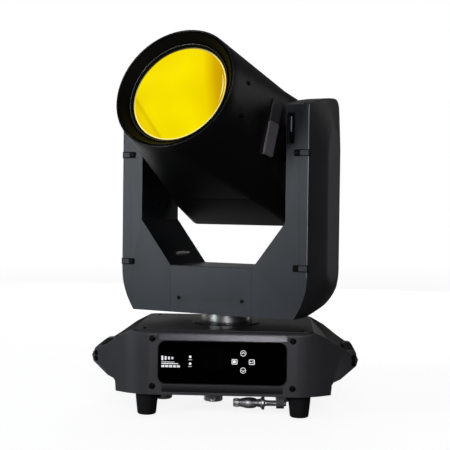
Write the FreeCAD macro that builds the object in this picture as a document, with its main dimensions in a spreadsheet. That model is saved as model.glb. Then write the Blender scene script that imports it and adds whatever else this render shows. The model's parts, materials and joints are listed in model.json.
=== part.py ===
"""Moving head light: a base with carrying handles, a panning yoke and a tilting beam head.

Row frame: millimetres, +Z up, -Y is the front with the control panel. The origin is on the pan
axis at the underside of the base tray, where a rigging bracket seats. The yoke's pieces are built
square to the base and then turned about Z by the stored pan; the head's pieces are built about
the tilt axis with the beam along -Y, and then tipped by the stored tilt and turned with the yoke.
"""

import FreeCAD, Part
import math
import os

import Sketcher

SIZES = {
    # base
    "tray_half_width": 160, "tray_half_depth": 122, "sheet": 2, "tray_wall_top": 84,
    "deck_top": 103, "deck_sheet": 2.5, "deck_edge": 145, "slope_edge": 170, "slope_drop": 22,
    "front_y": -132.3, "frame_plate": 9, "frame_gap": 0.4, "frame_bend": 6, "flat_half": 140,
    "sweep_angle": 37.5, "deck_hole": 41, "frame_top": 101.5, "ear_top_x": 147, "ear_tip_x": 220,
    "ear_tip_height": 53, "window_half": 103.5, "window_low": 17, "window_high": 87,
    "window_corner": 13, "window_glass": 3, "window_recess": 1.8, "panel_screw_x": 112,
    "panel_screw_low": 13.6, "panel_screw_high": 89.5, "panel_screw_seat": 2.4,
    "panel_screw_head": 4.4, "panel_screw_cup": 5.2, "tip_screw_head": 3.4, "tip_screw_length": 18,
    "screw_core": 2, "fit_gap": 0.3, "rear_opening_half": 115, "rear_opening_low": 22,
    "rear_opening_high": 84, "rear_opening_corner": 8, "handle_in": 200, "handle_out": 218,
    "handle_low": 42, "handle_high": 66, "handle_screw_x": 212, "handle_screw_low": 47.8,
    "handle_screw_high": 57.2, "foot_x": 124, "foot_y": 100, "foot_height": 37,
    "foot_top_radius": 19, "foot_bottom_radius": 15, "foot_recess": 6, "foot_recess_depth": 21,
    "button_size": 10.3, "button_gap": 0.35, "button_x": 33.4, "button_z": 54.8,
    "button_step": 13.7, "button_corner": 3, "button_skirt": 1.1, "led_x": -51.3,
    "led_radius": 1.9, "led_low": 50.2, "led_high": 61.2, "lcd_left": -34, "lcd_right": 1.5,
    "lcd_low": 42, "lcd_high": 75, "lcd_thick": 3, "board_half": 98, "board_low": 20,
    "board_high": 84, "board_y": -118, "board_thick": 1.6, "motor_half": 28, "motor_shaft": 4,
    "ballast_left": 66, "ballast_right": 148, "ballast_half_depth": 80, "ballast_top": 50,
    "socket_plate_y": 121.3, "socket_plate_half": 122, "socket_plate_low": 14,
    "socket_plate_high": 92, "socket_z": 53, "socket_depth": 25.3, "socket_flange": 5,
    "power_socket_radius": 13, "data_socket_radius": 11, "lock_x": 100, "lock_y": 75,
    "lock_radius": 15.5, "lock_drop": 16, "lock_bore": 5.2, "bolt_y": -100, "bolt_z": -16,
    "bolt_radius": 5, "lug_left": 86, "lug_right": 100, "lug_half": 8, "boss_x": -16,
    "boss_y": -95, "boss_radius": 15.5, "boss_drop": 14.5,
    # pan drive
    "shaft_radius": 32, "shaft_bore": 29, "running_gap": 0.04, "collar_radius": 43.3,
    "collar_low": 105.1, "pan_wheel_radius": 50, "pan_pinion_radius": 12.5, "pan_motor_x": -100,
    "pan_belt_low": 62, "pan_belt_high": 74, "belt_gap": 0.3, "belt_sheet": 1.6, "bearing_low": 84,
    "bearing_radius": 40.5, "bearing_flange": 58, "bearing_flange_sheet": 1.6, "flange_step": 2,
    # yoke
    "yoke_bottom": 121.5, "yoke_half_depth": 61, "arm_outer": 175, "arm_inner": 136,
    "web_top": 201, "web_half": 77.5, "haunch_top": 277, "arm_top_front": 466, "arm_top": 483,
    "curve_in": 23.5, "curve_height": 70, "wall": 3, "cover_out": 192, "facet_front": -18,
    "facet_back": 28, "web_cover_half": 77, "web_cover_sheet": 2.4, "tab_low": 204.4,
    "tab_high": 388.6, "tab_inner": 151, "tab_height": 11, "tab_sheet": 2, "side_screw_x": 155.5,
    "web_screw_x": 60, "web_screw_z": 146.4, "screw_head": 3.6, "screw_head_height": 1.8,
    "screw_shank": 1.8, "screw_length": 8,
    # tilt drive
    "tilt_z": 407.4, "hub_radius": 31, "hub_end": 133, "trunnion_radius": 22, "trunnion_bore": 12,
    "trunnion_end": 158, "chassis_half": 92, "tilt_bearing_radius": 36, "tilt_bearing_in": 139,
    "tilt_bearing_width": 12, "tilt_wheel_radius": 45, "tilt_pinion_radius": 11.25,
    "tilt_motor_z": 308, "tilt_belt_in": 163.5, "tilt_belt_out": 172.5,
    # head, measured along the beam from the tilt axis
    "rim_u": 202, "rim_half": 103, "rim_corner": 101, "seam_u": 8, "body_half": 105,
    "seam_corner": 42, "skin": 3, "rear_body_half": 107, "rear_body_corner": 34, "taper_u": -103,
    "taper_corner": 18, "rear_u": -150, "rear_half": 80, "rear_corner": 14,
    "barrel_screw_x": 103.2, "barrel_screw_u": 155, "barrel_screw_z": 28, "lens_radius": 86,
    "lens_window": 81.5, "lens_face_u": 182.6, "lens_back_u": 172, "lens_dome": 11,
    "band_low_u": 38.5, "band_high_u": 70, "band_low_z": -52, "band_high_z": 50, "band_sheet": 3,
    "spindle_radius": 3, "fan_low_u": -134, "fan_high_u": -118, "fan_hub": 13, "wheel_radius": 56,
    "wheel_offset": 44, "rod_radius": 4, "rod_x": 62,
    # the pose that the lamp is stored in
    "stored_pan": 25.06, "stored_tilt": 22.9,
}

V = FreeCAD.Vector
doc = FreeCAD.newDocument("moving_head_light")


class Dim:
    """A length together with the sheet formula that gives it."""

    def __init__(self, number, formula):
        self.number = number
        self.formula = formula

    def _join(self, sign, other, number):
        return Dim(number, "(%s %s %s)" % (self.formula, sign, text_of(other)))

    def __add__(self, other):
        return self._join("+", other, self.number + number_of(other))

    def __sub__(self, other):
        return self._join("-", other, self.number - number_of(other))

    def __mul__(self, factor):
        return self._join("*", factor, self.number * number_of(factor))

    def __truediv__(self, divisor):
        return self._join("/", divisor, self.number / number_of(divisor))

    def __neg__(self):
        return Dim(-self.number, "(0 - %s)" % self.formula)

    def __radd__(self, other):
        return dim(other) + self

    def __rsub__(self, other):
        return dim(other) - self

    def __rmul__(self, other):
        return dim(other) * self


def number_of(value):
    return value.number if isinstance(value, Dim) else float(value)


def text_of(value):
    return value.formula if isinstance(value, Dim) else "(%s)" % repr(float(value))


def dim(value):
    return value if isinstance(value, Dim) else Dim(number_of(value), text_of(value))


class Sheet:
    """The spreadsheet of driving sizes; each alias reads as an attribute."""

    def __init__(self, sizes):
        page = doc.addObject("Spreadsheet::Sheet", "Sizes")
        self.dims = {}
        for row, (alias, value) in enumerate(sizes.items(), start=1):
            page.set("A%d" % row, alias)
            page.set("B%d" % row, str(value))
            page.setAlias("B%d" % row, alias)
            self.dims[alias] = Dim(float(value), "Sizes.%s" % alias)
        doc.recompute()

    def __getattr__(self, alias):
        return self.dims[alias]


S = Sheet(SIZES)

TURNS = {
    "xy": FreeCAD.Rotation(),
    "xz": FreeCAD.Rotation(V(1, 0, 0), 90),
    "yz": FreeCAD.Rotation(V(1, 1, 1), 120),
    "zx": FreeCAD.Rotation(V(1, 1, 1), -120),
}
NORMALS = {"xy": V(0, 0, 1), "xz": V(0, 1, 0), "yz": V(1, 0, 0)}
LEVEL = {"xy": "z", "xz": "y", "yz": "x"}


def tie(thing, prop, value):
    """Bind a property to a sheet formula, or set it when the value is a plain number."""
    if isinstance(value, Dim):
        thing.setExpression(prop, value.formula)
    else:
        thing.setExpression(prop, repr(float(value)))


def tie_base(thing, point):
    for letter, value in zip("xyz", point):
        tie(thing, "Placement.Base.%s" % letter, value)


# ---- solids ----

def box(low, high):
    block = doc.addObject("Part::Box", "Box")
    for prop, a, b in zip(("Length", "Width", "Height"), low, high):
        tie(block, prop, dim(b) - a)
    tie_base(block, low)
    return block


AXES = {
    "x": FreeCAD.Rotation(V(0, 1, 0), 90),
    "y": FreeCAD.Rotation(V(1, 0, 0), -90),
    "z": FreeCAD.Rotation(),
}


def rod(start, radius, length, axis="z"):
    """A cylinder that starts at a point and runs along +axis."""
    bar = doc.addObject("Part::Cylinder", "Rod")
    tie(bar, "Radius", radius)
    tie(bar, "Height", length)
    bar.Placement = FreeCAD.Placement(V(), AXES[axis])
    tie_base(bar, start)
    return bar


def pin_sketch(plane, level=0):
    sketch = doc.addObject("Sketcher::SketchObject", "Outline")
    sketch.Placement = FreeCAD.Placement(V(), TURNS[plane])
    if plane in LEVEL:
        tie(sketch, "Placement.Base.%s" % LEVEL[plane], level)
    return sketch


def pin_point(sketch, geometry, end, point):
    """Hold one end of a sketch line at two signed distances from the sketch's origin."""
    for kind, value in zip(("DistanceX", "DistanceY"), point):
        rule = Sketcher.Constraint(kind, -1, 1, geometry, end, number_of(value))
        index = sketch.addConstraint(rule)
        if isinstance(value, Dim):
            sketch.setExpression("Constraints[%d]" % index, value.formula)


def polygon(plane, points, level=0):
    """A closed outline of straight edges, each corner tied to the sheet."""
    sketch = pin_sketch(plane, level)
    spots = [V(number_of(x), number_of(y), 0) for x, y in points]
    count = len(spots)
    for i in range(count):
        sketch.addGeometry(Part.LineSegment(spots[i], spots[(i + 1) % count]), False)
    for i in range(count):
        sketch.addConstraint(Sketcher.Constraint("Coincident", i, 2, (i + 1) % count, 1))
        pin_point(sketch, i, 1, points[i])
    return sketch


def round_rectangle(plane, low, high, radius, level=0):
    """A rectangle with equal round corners, tied to the sheet by its sides and its radius."""
    sketch = pin_sketch(plane, level)
    x0, y0 = (number_of(value) for value in low)
    x1, y1 = (number_of(value) for value in high)
    r = number_of(radius)
    ends = [
        (V(x0 + r, y0, 0), V(x1 - r, y0, 0)), (V(x1, y0 + r, 0), V(x1, y1 - r, 0)),
        (V(x1 - r, y1, 0), V(x0 + r, y1, 0)), (V(x0, y1 - r, 0), V(x0, y0 + r, 0)),
    ]
    centres = [V(x1 - r, y0 + r, 0), V(x1 - r, y1 - r, 0), V(x0 + r, y1 - r, 0), V(x0 + r, y0 + r, 0)]
    for i, (a, b) in enumerate(ends):
        sketch.addGeometry(Part.LineSegment(a, b), False)
        turn = -math.pi / 2 + i * math.pi / 2
        circle = Part.Circle(centres[i], V(0, 0, 1), r)
        sketch.addGeometry(Part.ArcOfCircle(circle, turn, turn + math.pi / 2), False)
    for i in range(4):
        line, arc, following = 2 * i, 2 * i + 1, (2 * i + 2) % 8
        sketch.addConstraint(Sketcher.Constraint("Tangent", line, 2, arc, 1))
        sketch.addConstraint(Sketcher.Constraint("Tangent", arc, 2, following, 1))
        sketch.addConstraint(Sketcher.Constraint("Vertical" if i % 2 else "Horizontal", line))
        if i:
            sketch.addConstraint(Sketcher.Constraint("Equal", 1, arc))
    size = sketch.addConstraint(Sketcher.Constraint("Radius", 1, r))
    sketch.setExpression("Constraints[%d]" % size, text_of(radius))
    sides = (("DistanceY", 0, low[1]), ("DistanceX", 2, high[0]),
             ("DistanceY", 4, high[1]), ("DistanceX", 6, low[0]))
    for kind, line, value in sides:
        rule = sketch.addConstraint(Sketcher.Constraint(kind, -1, 1, line, 1, number_of(value)))
        sketch.setExpression("Constraints[%d]" % rule, text_of(value))
    return sketch


def extrude(sketch, plane, length):
    solid = doc.addObject("Part::Extrusion", "Prism")
    solid.Base = sketch
    solid.DirMode = "Custom"
    solid.Dir = NORMALS[plane]
    solid.Solid = True
    tie(solid, "LengthFwd", length)
    return solid


def prism(plane, points, low, high):
    """A straight-sided outline carried along the plane's normal from one level to another."""
    return extrude(polygon(plane, points, low), plane, dim(high) - low)


def turned(points, axis="z"):
    """A profile of (radius, distance along the axis) corners, turned once about the axis."""
    plane = {"z": "xz", "y": "xy", "x": "zx"}[axis]
    solid = doc.addObject("Part::Revolution", "Turned")
    solid.Source = polygon(plane, points)
    solid.Axis = {"z": V(0, 0, 1), "y": V(0, 1, 0), "x": V(1, 0, 0)}[axis]
    solid.Base = V(0, 0, 0)
    solid.Angle = 360
    solid.Solid = True
    return solid


def loft(sections):
    solid = doc.addObject("Part::Loft", "Loft")
    solid.Sections = sections
    solid.Solid = True
    solid.Ruled = True
    return solid


def cut(base, *tools):
    for tool in tools:
        result = doc.addObject("Part::Cut", "Cut")
        result.Base = base
        result.Tool = tool
        base = result
    return base


def fuse(*pieces):
    result = doc.addObject("Part::MultiFuse", "Fuse")
    result.Shapes = list(pieces)
    result.Refine = True
    return result


def common(*pieces):
    result = doc.addObject("Part::MultiCommon", "Common")
    result.Shapes = list(pieces)
    return result


def group(*pieces):
    result = doc.addObject("Part::Compound", "Group")
    result.Links = list(pieces)
    return result


def moved(piece, shift=(0, 0, 0), axis=(0, 0, 1), angle=0):
    """The same piece turned about an axis through the origin and then shifted."""
    result = doc.addObject("Part::Compound", "Moved")
    result.Links = [piece]
    result.Placement = FreeCAD.Placement(V(), FreeCAD.Rotation(V(*axis), angle))
    tie_base(result, shift)
    return result


def mirrored(piece, normal):
    result = doc.addObject("Part::Mirroring", "Mirror")
    result.Source = piece
    result.Normal = V(*normal)
    return result


def rounded(piece, radius, wanted):
    """Round the edges of a finished piece that the test picks."""
    doc.recompute()
    size = number_of(radius)
    picked = [i for i, edge in enumerate(piece.Shape.Edges, start=1) if wanted(edge)]
    result = doc.addObject("Part::Fillet", "Rounded")
    result.Base = piece
    result.Edges = [(i, size, size) for i in picked]
    return result


def along(edge, direction):
    """True for a straight edge that runs along a direction."""
    if edge.Curve.TypeId != "Part::GeomLine":
        return False
    return abs(abs(edge.Curve.Direction.dot(V(*direction))) - 1) < 1e-6


def screw(head_radius, head_height, shank_radius, length):
    """A round head with a socket, its seat at 0 and its shank running along -Z."""
    return turned([
        (0, -length), (shank_radius, -length), (shank_radius, 0), (head_radius, 0),
        (head_radius, head_height * 0.45), (head_radius * 0.72, head_height),
        (head_radius * 0.42, head_height), (head_radius * 0.42, head_height * 0.45),
        (0, head_height * 0.45),
    ])


def drill(radius, length):
    """The hole that a screw's shank takes, below its seat."""
    return rod((0, 0, -length), radius, length)


def at_front(piece, x, y, z):
    """Turn a +Z piece to face -Y and put it at a point."""
    return moved(piece, (x, y, z), (1, 0, 0), 90)


# ---- frames for the yoke and the head ----

PAN = FreeCAD.Rotation(V(0, 0, 1), -SIZES["stored_pan"])
TILT = FreeCAD.Rotation(V(1, 0, 0), -SIZES["stored_tilt"])
FRAMES = {
    "base": FreeCAD.Placement(),
    "yoke": FreeCAD.Placement(V(), PAN),
    "head": FreeCAD.Placement(V(0, 0, SIZES["tilt_z"]), PAN.multiply(TILT)),
}
nodes = []


def node(label, piece, frame="base"):
    """A finished sub-part, carried into the row frame by the body that it rides on."""
    holder = doc.addObject("Part::Compound", "Node_" + label)
    holder.Links = [piece]
    holder.Label = label
    holder.Placement = FRAMES[frame]
    nodes.append(holder)
    return piece


# ---- base ----

def ear_line(shift):
    """The plan of the base's swept front face, shifted back by a distance; +X half only."""
    slope = math.tan(math.radians(SIZES["sweep_angle"]))
    bend = S.flat_half - shift * math.tan(math.radians(SIZES["sweep_angle"] / 2))
    flat_y = S.front_y + shift
    tip_y = flat_y + (S.ear_tip_x - bend) * slope
    return bend, flat_y, tip_y


def swept_band():
    """The bent plate of an end frame, seen from above, carried from bottom to top."""
    bend, flat_y, tip_y = ear_line(0)
    in_bend, in_flat_y, in_tip_y = ear_line(S.frame_plate)
    outer = [(-S.ear_tip_x, tip_y), (-bend, flat_y), (bend, flat_y), (S.ear_tip_x, tip_y)]
    inner = [(S.ear_tip_x, in_tip_y), (in_bend, in_flat_y), (-in_bend, in_flat_y),
             (-S.ear_tip_x, in_tip_y)]
    return prism("xy", outer + inner, 0, S.frame_top)


def between_frames(half_width, low, high):
    """The plan of the space between the two end frames' backs, with a small gap all round."""
    bend, flat_y, _ = ear_line(S.frame_plate + S.frame_gap)
    slope = math.tan(math.radians(SIZES["sweep_angle"]))
    side_y = flat_y + (half_width - bend) * slope
    half = [(half_width, side_y), (half_width, -side_y), (bend, -flat_y), (-bend, -flat_y),
            (-half_width, -side_y), (-half_width, side_y), (-bend, flat_y), (bend, flat_y)]
    return prism("xy", half, low, high)


def ear_elevation():
    """The end frame's outline from the front: flat between the ears, each ear like an arrow."""
    right = [
        (174.5, 0), (176, 16), (179, 20), (190, 23.5), (S.ear_tip_x - 3, S.ear_tip_height - 10),
        (S.ear_tip_x, S.ear_tip_height), (S.ear_tip_x - 3, S.ear_tip_height + 7), (208, 64),
        (193, 73.5), (170, 90), (S.ear_top_x, S.frame_top),
    ]
    left = [(-x, z) for x, z in reversed(right)]
    return prism("xz", right + left, S.front_y - 5, 0)


def tip_tools(make):
    """Place a +Z piece at each of the front frame's four tip screws, facing out of the ear."""
    slope = math.tan(math.radians(SIZES["sweep_angle"]))
    placed = []
    for side in (-1, 1):
        for z in (S.handle_screw_low, S.handle_screw_high):
            y = S.front_y + (S.handle_screw_x - S.flat_half) * slope
            upright = moved(make(), axis=(1, 0, 0), angle=90)
            placed.append(moved(upright, (S.handle_screw_x * side, y, z), (0, 0, 1),
                                SIZES["sweep_angle"] * side))
    return placed


def end_frame():
    """The plate that both ends of the base share, before its own opening is cut."""
    plate = common(swept_band(), ear_elevation())
    top = SIZES["frame_top"]
    return rounded(plate, S.frame_bend, lambda edge: along(edge, (1, 0, 0))
                   and abs(edge.CenterOfMass.z - top) < 0.1
                   and abs(edge.CenterOfMass.y - SIZES["front_y"]) < 0.1)


def panel_spots():
    return [(S.panel_screw_x * side, z) for side in (-1, 1)
            for z in (S.panel_screw_low, S.panel_screw_high)]


def plate_opening(half, low, high, corner):
    """The tool for a round-cornered opening through an end frame's flat front."""
    outline = round_rectangle("xz", (-half, low), (half, high), corner, S.front_y - 1)
    return extrude(outline, "xz", S.frame_plate + 3)


def tip_drill():
    return drill(S.screw_core, S.tip_screw_length + 2)


def tip_screw():
    return screw(S.tip_screw_head, S.screw_head_height, S.screw_core, S.tip_screw_length)


def base_front_frame():
    seat = S.front_y + S.panel_screw_seat
    tools = [plate_opening(S.window_half, S.window_low, S.window_high, S.window_corner)]
    for x, z in panel_spots():
        tools.append(rod((x, S.front_y - 1, z), S.panel_screw_cup, S.panel_screw_seat + 1, "y"))
        tools.append(at_front(drill(S.screw_core, 8), x, seat, z))
    return cut(end_frame(), *tools, *tip_tools(tip_drill))


def base_rear_frame():
    opening = plate_opening(S.rear_opening_half, S.rear_opening_low, S.rear_opening_high,
                            S.rear_opening_corner)
    return mirrored(cut(end_frame(), opening, *tip_tools(tip_drill)), (0, 1, 0))


def handle_bar():
    """A hand-sized bar between the ear tips, its ends cut to the ears' backs."""
    slope = math.tan(math.radians(SIZES["sweep_angle"]))
    bend, flat_y, _ = ear_line(S.frame_plate)
    near = flat_y + (S.handle_in - bend) * slope
    far = flat_y + (S.handle_out - bend) * slope
    plan = [(S.handle_in, near), (S.handle_out, far), (S.handle_out, -far), (S.handle_in, -near)]
    bar = rounded(prism("xy", plan, S.handle_low, S.handle_high), 7,
                  lambda edge: along(edge, (0, 1, 0)))
    front = tip_tools(tip_drill)
    back = [mirrored(tool, (0, 1, 0)) for tool in tip_tools(tip_drill)]
    return cut(bar, *front, *back)


def base_tray():
    """A sheet-metal channel: floor and two side walls, with holes for the quick locks."""
    width, depth, gauge = S.tray_half_width, S.tray_half_depth, S.sheet
    outline = [(-width, 0), (width, 0), (width, S.tray_wall_top), (width - gauge, S.tray_wall_top),
               (width - gauge, gauge), (gauge - width, gauge), (gauge - width, S.tray_wall_top),
               (-width, S.tray_wall_top)]
    locks = [rod((S.lock_x * i, S.lock_y * j, -1), S.lock_bore, 5)
             for i in (-1, 1) for j in (-1, 1)]
    vents = [box((width * side - 3, y - 4, 20), (width * side + 3, y + 4, 60))
             for side in (-1, 1) for y in range(-60, 61, 20)]
    channel = common(prism("xz", outline, -depth, depth), between_frames(width, -1, 90))
    return cut(channel, *locks, *vents)


def base_top_cover():
    """The deck: a flat top with a slope down each side, bent from one sheet."""
    top, edge, foot, gauge = S.deck_top, S.deck_edge, S.slope_edge, S.deck_sheet
    low = top - S.slope_drop
    outer = [(foot, low), (edge, top), (-edge, top), (-foot, low)]
    inner = [(gauge * 0.7 - foot, low - gauge * 0.75), (gauge * 0.4 - edge, top - gauge),
             (edge - gauge * 0.4, top - gauge), (foot - gauge * 0.7, low - gauge * 0.75)]
    sheet = common(prism("xz", outer + inner, -S.tray_half_depth, S.tray_half_depth),
                   between_frames(S.slope_edge, 50, 120))
    return cut(sheet, rod((0, 0, low), S.deck_hole, S.slope_drop * 2))


def foot(x_side, y_side):
    cone = doc.addObject("Part::Cone", "Foot")
    tie(cone, "Radius1", S.foot_bottom_radius)
    tie(cone, "Radius2", S.foot_top_radius)
    tie(cone, "Height", S.foot_height)
    tie_base(cone, (S.foot_x * x_side, S.foot_y * y_side, -S.foot_height))
    recess = rod((S.foot_x * x_side, S.foot_y * y_side, -S.foot_height - 1), S.foot_recess,
                 S.foot_recess_depth + 1)
    return cut(cone, recess)


def button_spots():
    x, z, step = S.button_x, S.button_z, S.button_step
    return {"menu_button": (x - step, z), "up_button": (x, z + step),
            "down_button": (x, z - step), "enter_button": (x + step, z)}


def square_prism(centre, half, corner, y_low, thick):
    x, z = centre
    return extrude(round_rectangle("xz", (x - half, z - half), (x + half, z + half), corner, y_low),
                   "xz", thick)


def display_window():
    """The glossy panel in the front frame, with a hole for each button and status light."""
    face, gap = S.front_y + S.window_recess, S.fit_gap
    glass = extrude(round_rectangle("xz", (gap - S.window_half, S.window_low + gap),
                                    (S.window_half - gap, S.window_high - gap),
                                    S.window_corner - gap, face), "xz", S.window_glass)
    half, corner = S.button_size / 2 + S.button_gap, S.button_corner + 0.2
    holes = [square_prism(spot, half, corner, face - 1, S.window_glass * 2)
             for spot in button_spots().values()]
    return cut(glass, *holes, *led_rods(face - 1))


def panel_button(spot):
    """A push button: a cap through the window, on a wider skirt behind it."""
    face = S.front_y + S.window_recess
    half, corner = S.button_size / 2, S.button_corner
    cap = square_prism(spot, half, corner, face - 0.9, 5)
    skirt = square_prism(spot, half + S.button_skirt, corner, face + S.window_glass + 0.2, 1.6)
    return fuse(cap, skirt)


def led_rods(front):
    """A short bar along +Y for each status light, from a level towards the back."""
    return [rod((S.led_x, front, z), S.led_radius, 6, "y") for z in (S.led_low, S.led_high)]


def status_leds():
    return group(*led_rods(S.front_y + S.window_recess - 0.2))


def lcd_screen():
    back = S.front_y + S.window_recess + S.window_glass
    return box((S.lcd_left, back, S.lcd_low), (S.lcd_right, back + S.lcd_thick, S.lcd_high))


def control_board():
    back = S.board_y + S.board_thick
    plate = box((-S.board_half, S.board_y, S.board_low), (S.board_half, back, S.board_high))
    chips = [box((x, back, 40), (x + 18, back + 4.4, 58)) for x in (-80, -40, 10, 50)]
    return fuse(plate, *chips)


def lamp_ballast():
    left, right, depth, top = S.ballast_left, S.ballast_right, S.ballast_half_depth, S.ballast_top
    case = box((left, -depth, S.sheet), (right, depth, top))
    slots = [box((left - 4, y, top - 10), (right + 4, y + 5, top + 6))
             for y in range(-70, 71, 14)]
    return cut(case, *slots)


def pan_motor():
    half = S.motor_half
    case = box((S.pan_motor_x - half, -half, S.sheet), (S.pan_motor_x + half, half, 54))
    return cut(case, rod((S.pan_motor_x, 0, 39.5), S.motor_shaft + S.running_gap, 20))


def grooved(inner, radius, low, high):
    """The profile of a belt wheel with a thin flange above and below its groove."""
    rim, step = radius + S.flange_step, S.flange_step
    return [(inner, low - step), (rim, low - step), (rim, low - 0.5), (radius, low - 0.5),
            (radius, high + 0.5), (rim, high + 0.5), (rim, high + step), (inner, high + step)]


def pinion(radius, low, high, shaft_low):
    """A flanged belt pulley on its motor shaft, along +Z."""
    shaft = [(0, shaft_low), (S.motor_shaft, shaft_low)]
    wheel = grooved(S.motor_shaft, radius, low, high)
    return turned(shaft + wheel[:-1] + [(0, high + S.flange_step)])


def belt_loop(big, small, span, inset):
    """The outline of a belt round two pulleys: the big one at the origin, the small at -X."""
    big, small = big + inset, small + inset
    lean = math.asin((big - small) / span)
    up = V(-math.sin(lean), math.cos(lean), 0)
    down = V(-math.sin(lean), -math.cos(lean), 0)
    far = V(-span, 0, 0)
    big_top, big_low = up * big, down * big
    small_top, small_low = far + up * small, far + down * small
    return Part.Wire([
        Part.Arc(big_low, V(big, 0, 0), big_top).toShape(), Part.makeLine(big_top, small_top),
        Part.Arc(small_top, far - V(small, 0, 0), small_low).toShape(),
        Part.makeLine(small_low, big_low),
    ])


def belt(big, small, span, width):
    """A flat belt; its outline needs tangent arcs, so it is set as a finished shape."""
    gap, gauge = SIZES["belt_gap"], SIZES["belt_sheet"]
    outer = Part.Face(belt_loop(big, small, span, gap + gauge))
    inner = Part.Face(belt_loop(big, small, span, gap))
    loop = doc.addObject("Part::Feature", "Belt")
    loop.Shape = outer.cut(inner).extrude(V(0, 0, width))
    return loop


def pan_bearing():
    """The bearing block under the deck, with a flange on top of it."""
    bore, body, flange = S.shaft_radius + S.running_gap, S.bearing_radius, S.bearing_flange
    top = S.deck_top + S.bearing_flange_sheet
    return turned([(bore, S.bearing_low), (body, S.bearing_low), (body, S.deck_top),
                   (flange, S.deck_top), (flange - 2, top), (bore, top)])


POWER_SOCKETS = (-84, -48)
DATA_SOCKETS = (10, 42)


def connector_panel():
    face, half = S.socket_plate_y, S.socket_plate_half
    plate = box((-half, face, S.socket_plate_low), (half, face + S.sheet, S.socket_plate_high))
    holes = []
    for places, radius in ((POWER_SOCKETS, S.power_socket_radius),
                           (DATA_SOCKETS, S.data_socket_radius)):
        holes += [rod((x, face - 6, S.socket_z), radius, 12, "y") for x in places]
    return cut(plate, *holes)


def sockets(places, radius, bore):
    """Round panel sockets, open to the rear."""
    back = S.socket_plate_y + S.sheet
    cups = []
    for x in places:
        sleeve = rod((x, back - S.socket_depth, S.socket_z), radius, S.socket_depth, "y")
        flange = rod((x, back, S.socket_z), radius + 3, S.socket_flange, "y")
        mouth = rod((x, back - 11.3, S.socket_z), bore, 20, "y")
        cups.append(cut(fuse(sleeve, flange), mouth))
    return group(*cups)


def quick_lock_receptacles():
    """Four quarter-turn receptacles on the underside, where a clamp bracket locks on."""
    rings = []
    for i in (-1, 1):
        for j in (-1, 1):
            drum = rod((S.lock_x * i, S.lock_y * j, -S.lock_drop), S.lock_radius, S.lock_drop)
            bore = rod((S.lock_x * i, S.lock_y * j, -S.lock_drop - 1), S.lock_bore, 20)
            rings.append(cut(drum, bore))
    return group(*rings)


def rigging_lugs():
    """The lug that the clamp bolt turns in, and a round boss for a safety cable."""
    half = S.lug_half
    lug = box((S.lug_left, S.bolt_y - half, S.bolt_z - half), (S.lug_right, S.bolt_y + half, 0))
    bore = rod((S.lug_left - 6, S.bolt_y, S.bolt_z), S.bolt_radius + S.running_gap, 30, "x")
    boss = rod((S.boss_x, S.boss_y, -S.boss_drop), S.boss_radius, S.boss_drop)
    cable_hole = rod((S.boss_x, S.boss_y - 20, -8), 3.5, 40, "y")
    return group(cut(lug, bore), cut(boss, cable_hole))


def rigging_bolt():
    """A cast wing handle, neck, flange and shank on one axis."""
    shank = turned([(0, 62), (7, 62), (7, 67), (10.5, 67), (10.5, 72), (S.bolt_radius, 72),
                    (S.bolt_radius, 102), (S.bolt_radius - 1, 103), (0, 103)], "x")
    wing = prism("xy", [(17, -7), (30, -9), (50, -9), (60, -4), (66, -4), (66, 4), (60, 4),
                        (50, 9), (30, 9), (17, 7)], -5, 5)
    wing = rounded(wing, 3, lambda edge: abs(edge.CenterOfMass.z) > 4.9
                   and edge.CenterOfMass.x < 55)
    return moved(fuse(wing, shank), (0, S.bolt_y, S.bolt_z))


def handle_screws():
    front = tip_tools(tip_screw)
    back = [mirrored(piece, (0, 1, 0)) for piece in tip_tools(tip_screw)]
    return group(*front, *back)


def panel_screws():
    seat = S.front_y + S.panel_screw_seat
    return group(*[at_front(screw(S.panel_screw_head, 2.2, S.screw_core, 6), x, seat, z)
                   for x, z in panel_spots()])


def build_base():
    node("base_tray", base_tray())
    node("base_top_cover", base_top_cover())
    node("base_front_frame", base_front_frame())
    node("base_rear_frame", base_rear_frame())
    right_bar = handle_bar()
    node("carry_handle_right", right_bar)
    node("carry_handle_left", mirrored(right_bar, (1, 0, 0)))
    node("handle_screws", handle_screws())
    node("display_window", display_window())
    node("lcd_screen", lcd_screen())
    node("panel_screws", panel_screws())
    for name, spot in button_spots().items():
        node(name, panel_button(spot))
    node("status_leds", status_leds())
    for y_side, end in ((-1, "front"), (1, "rear")):
        for x_side, side in ((-1, "left"), (1, "right")):
            node("foot_%s_%s" % (end, side), foot(x_side, y_side))
    node("control_board", control_board())
    node("lamp_ballast", lamp_ballast())
    node("pan_motor", pan_motor())
    shaft = pinion(S.pan_pinion_radius, S.pan_belt_low, S.pan_belt_high, 40)
    node("pan_motor_pulley", moved(shaft, (S.pan_motor_x, 0, 0)))
    loop = belt(SIZES["pan_wheel_radius"], SIZES["pan_pinion_radius"], -SIZES["pan_motor_x"],
                SIZES["pan_belt_high"] - SIZES["pan_belt_low"])
    node("pan_belt", moved(loop, (0, 0, S.pan_belt_low)))
    node("pan_bearing", pan_bearing())
    node("connector_panel", connector_panel())
    node("power_sockets", sockets(POWER_SOCKETS, S.power_socket_radius, 9))
    node("data_sockets", sockets(DATA_SOCKETS, S.data_socket_radius, 8))
    node("quick_lock_receptacles", quick_lock_receptacles())
    node("rigging_lugs", rigging_lugs())
    node("rigging_bolt", rigging_bolt())


# ---- yoke, square to the base ----

CURVE_STEPS = 8
CURVE_POWER = 2.1


def lower_curve(reach):
    """The curved lower outer corner of an arm, from the bottom up, pushed out by a distance."""
    curve = []
    for step in range(CURVE_STEPS + 1):
        share = step / CURVE_STEPS
        drop = (1 - share) ** CURVE_POWER
        spread = 0.15 + 0.85 * (1 - (1 - share) ** 2)
        curve.append((S.arm_outer - S.curve_in * drop + reach * spread,
                      S.yoke_bottom + S.curve_height * share))
    return curve


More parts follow.
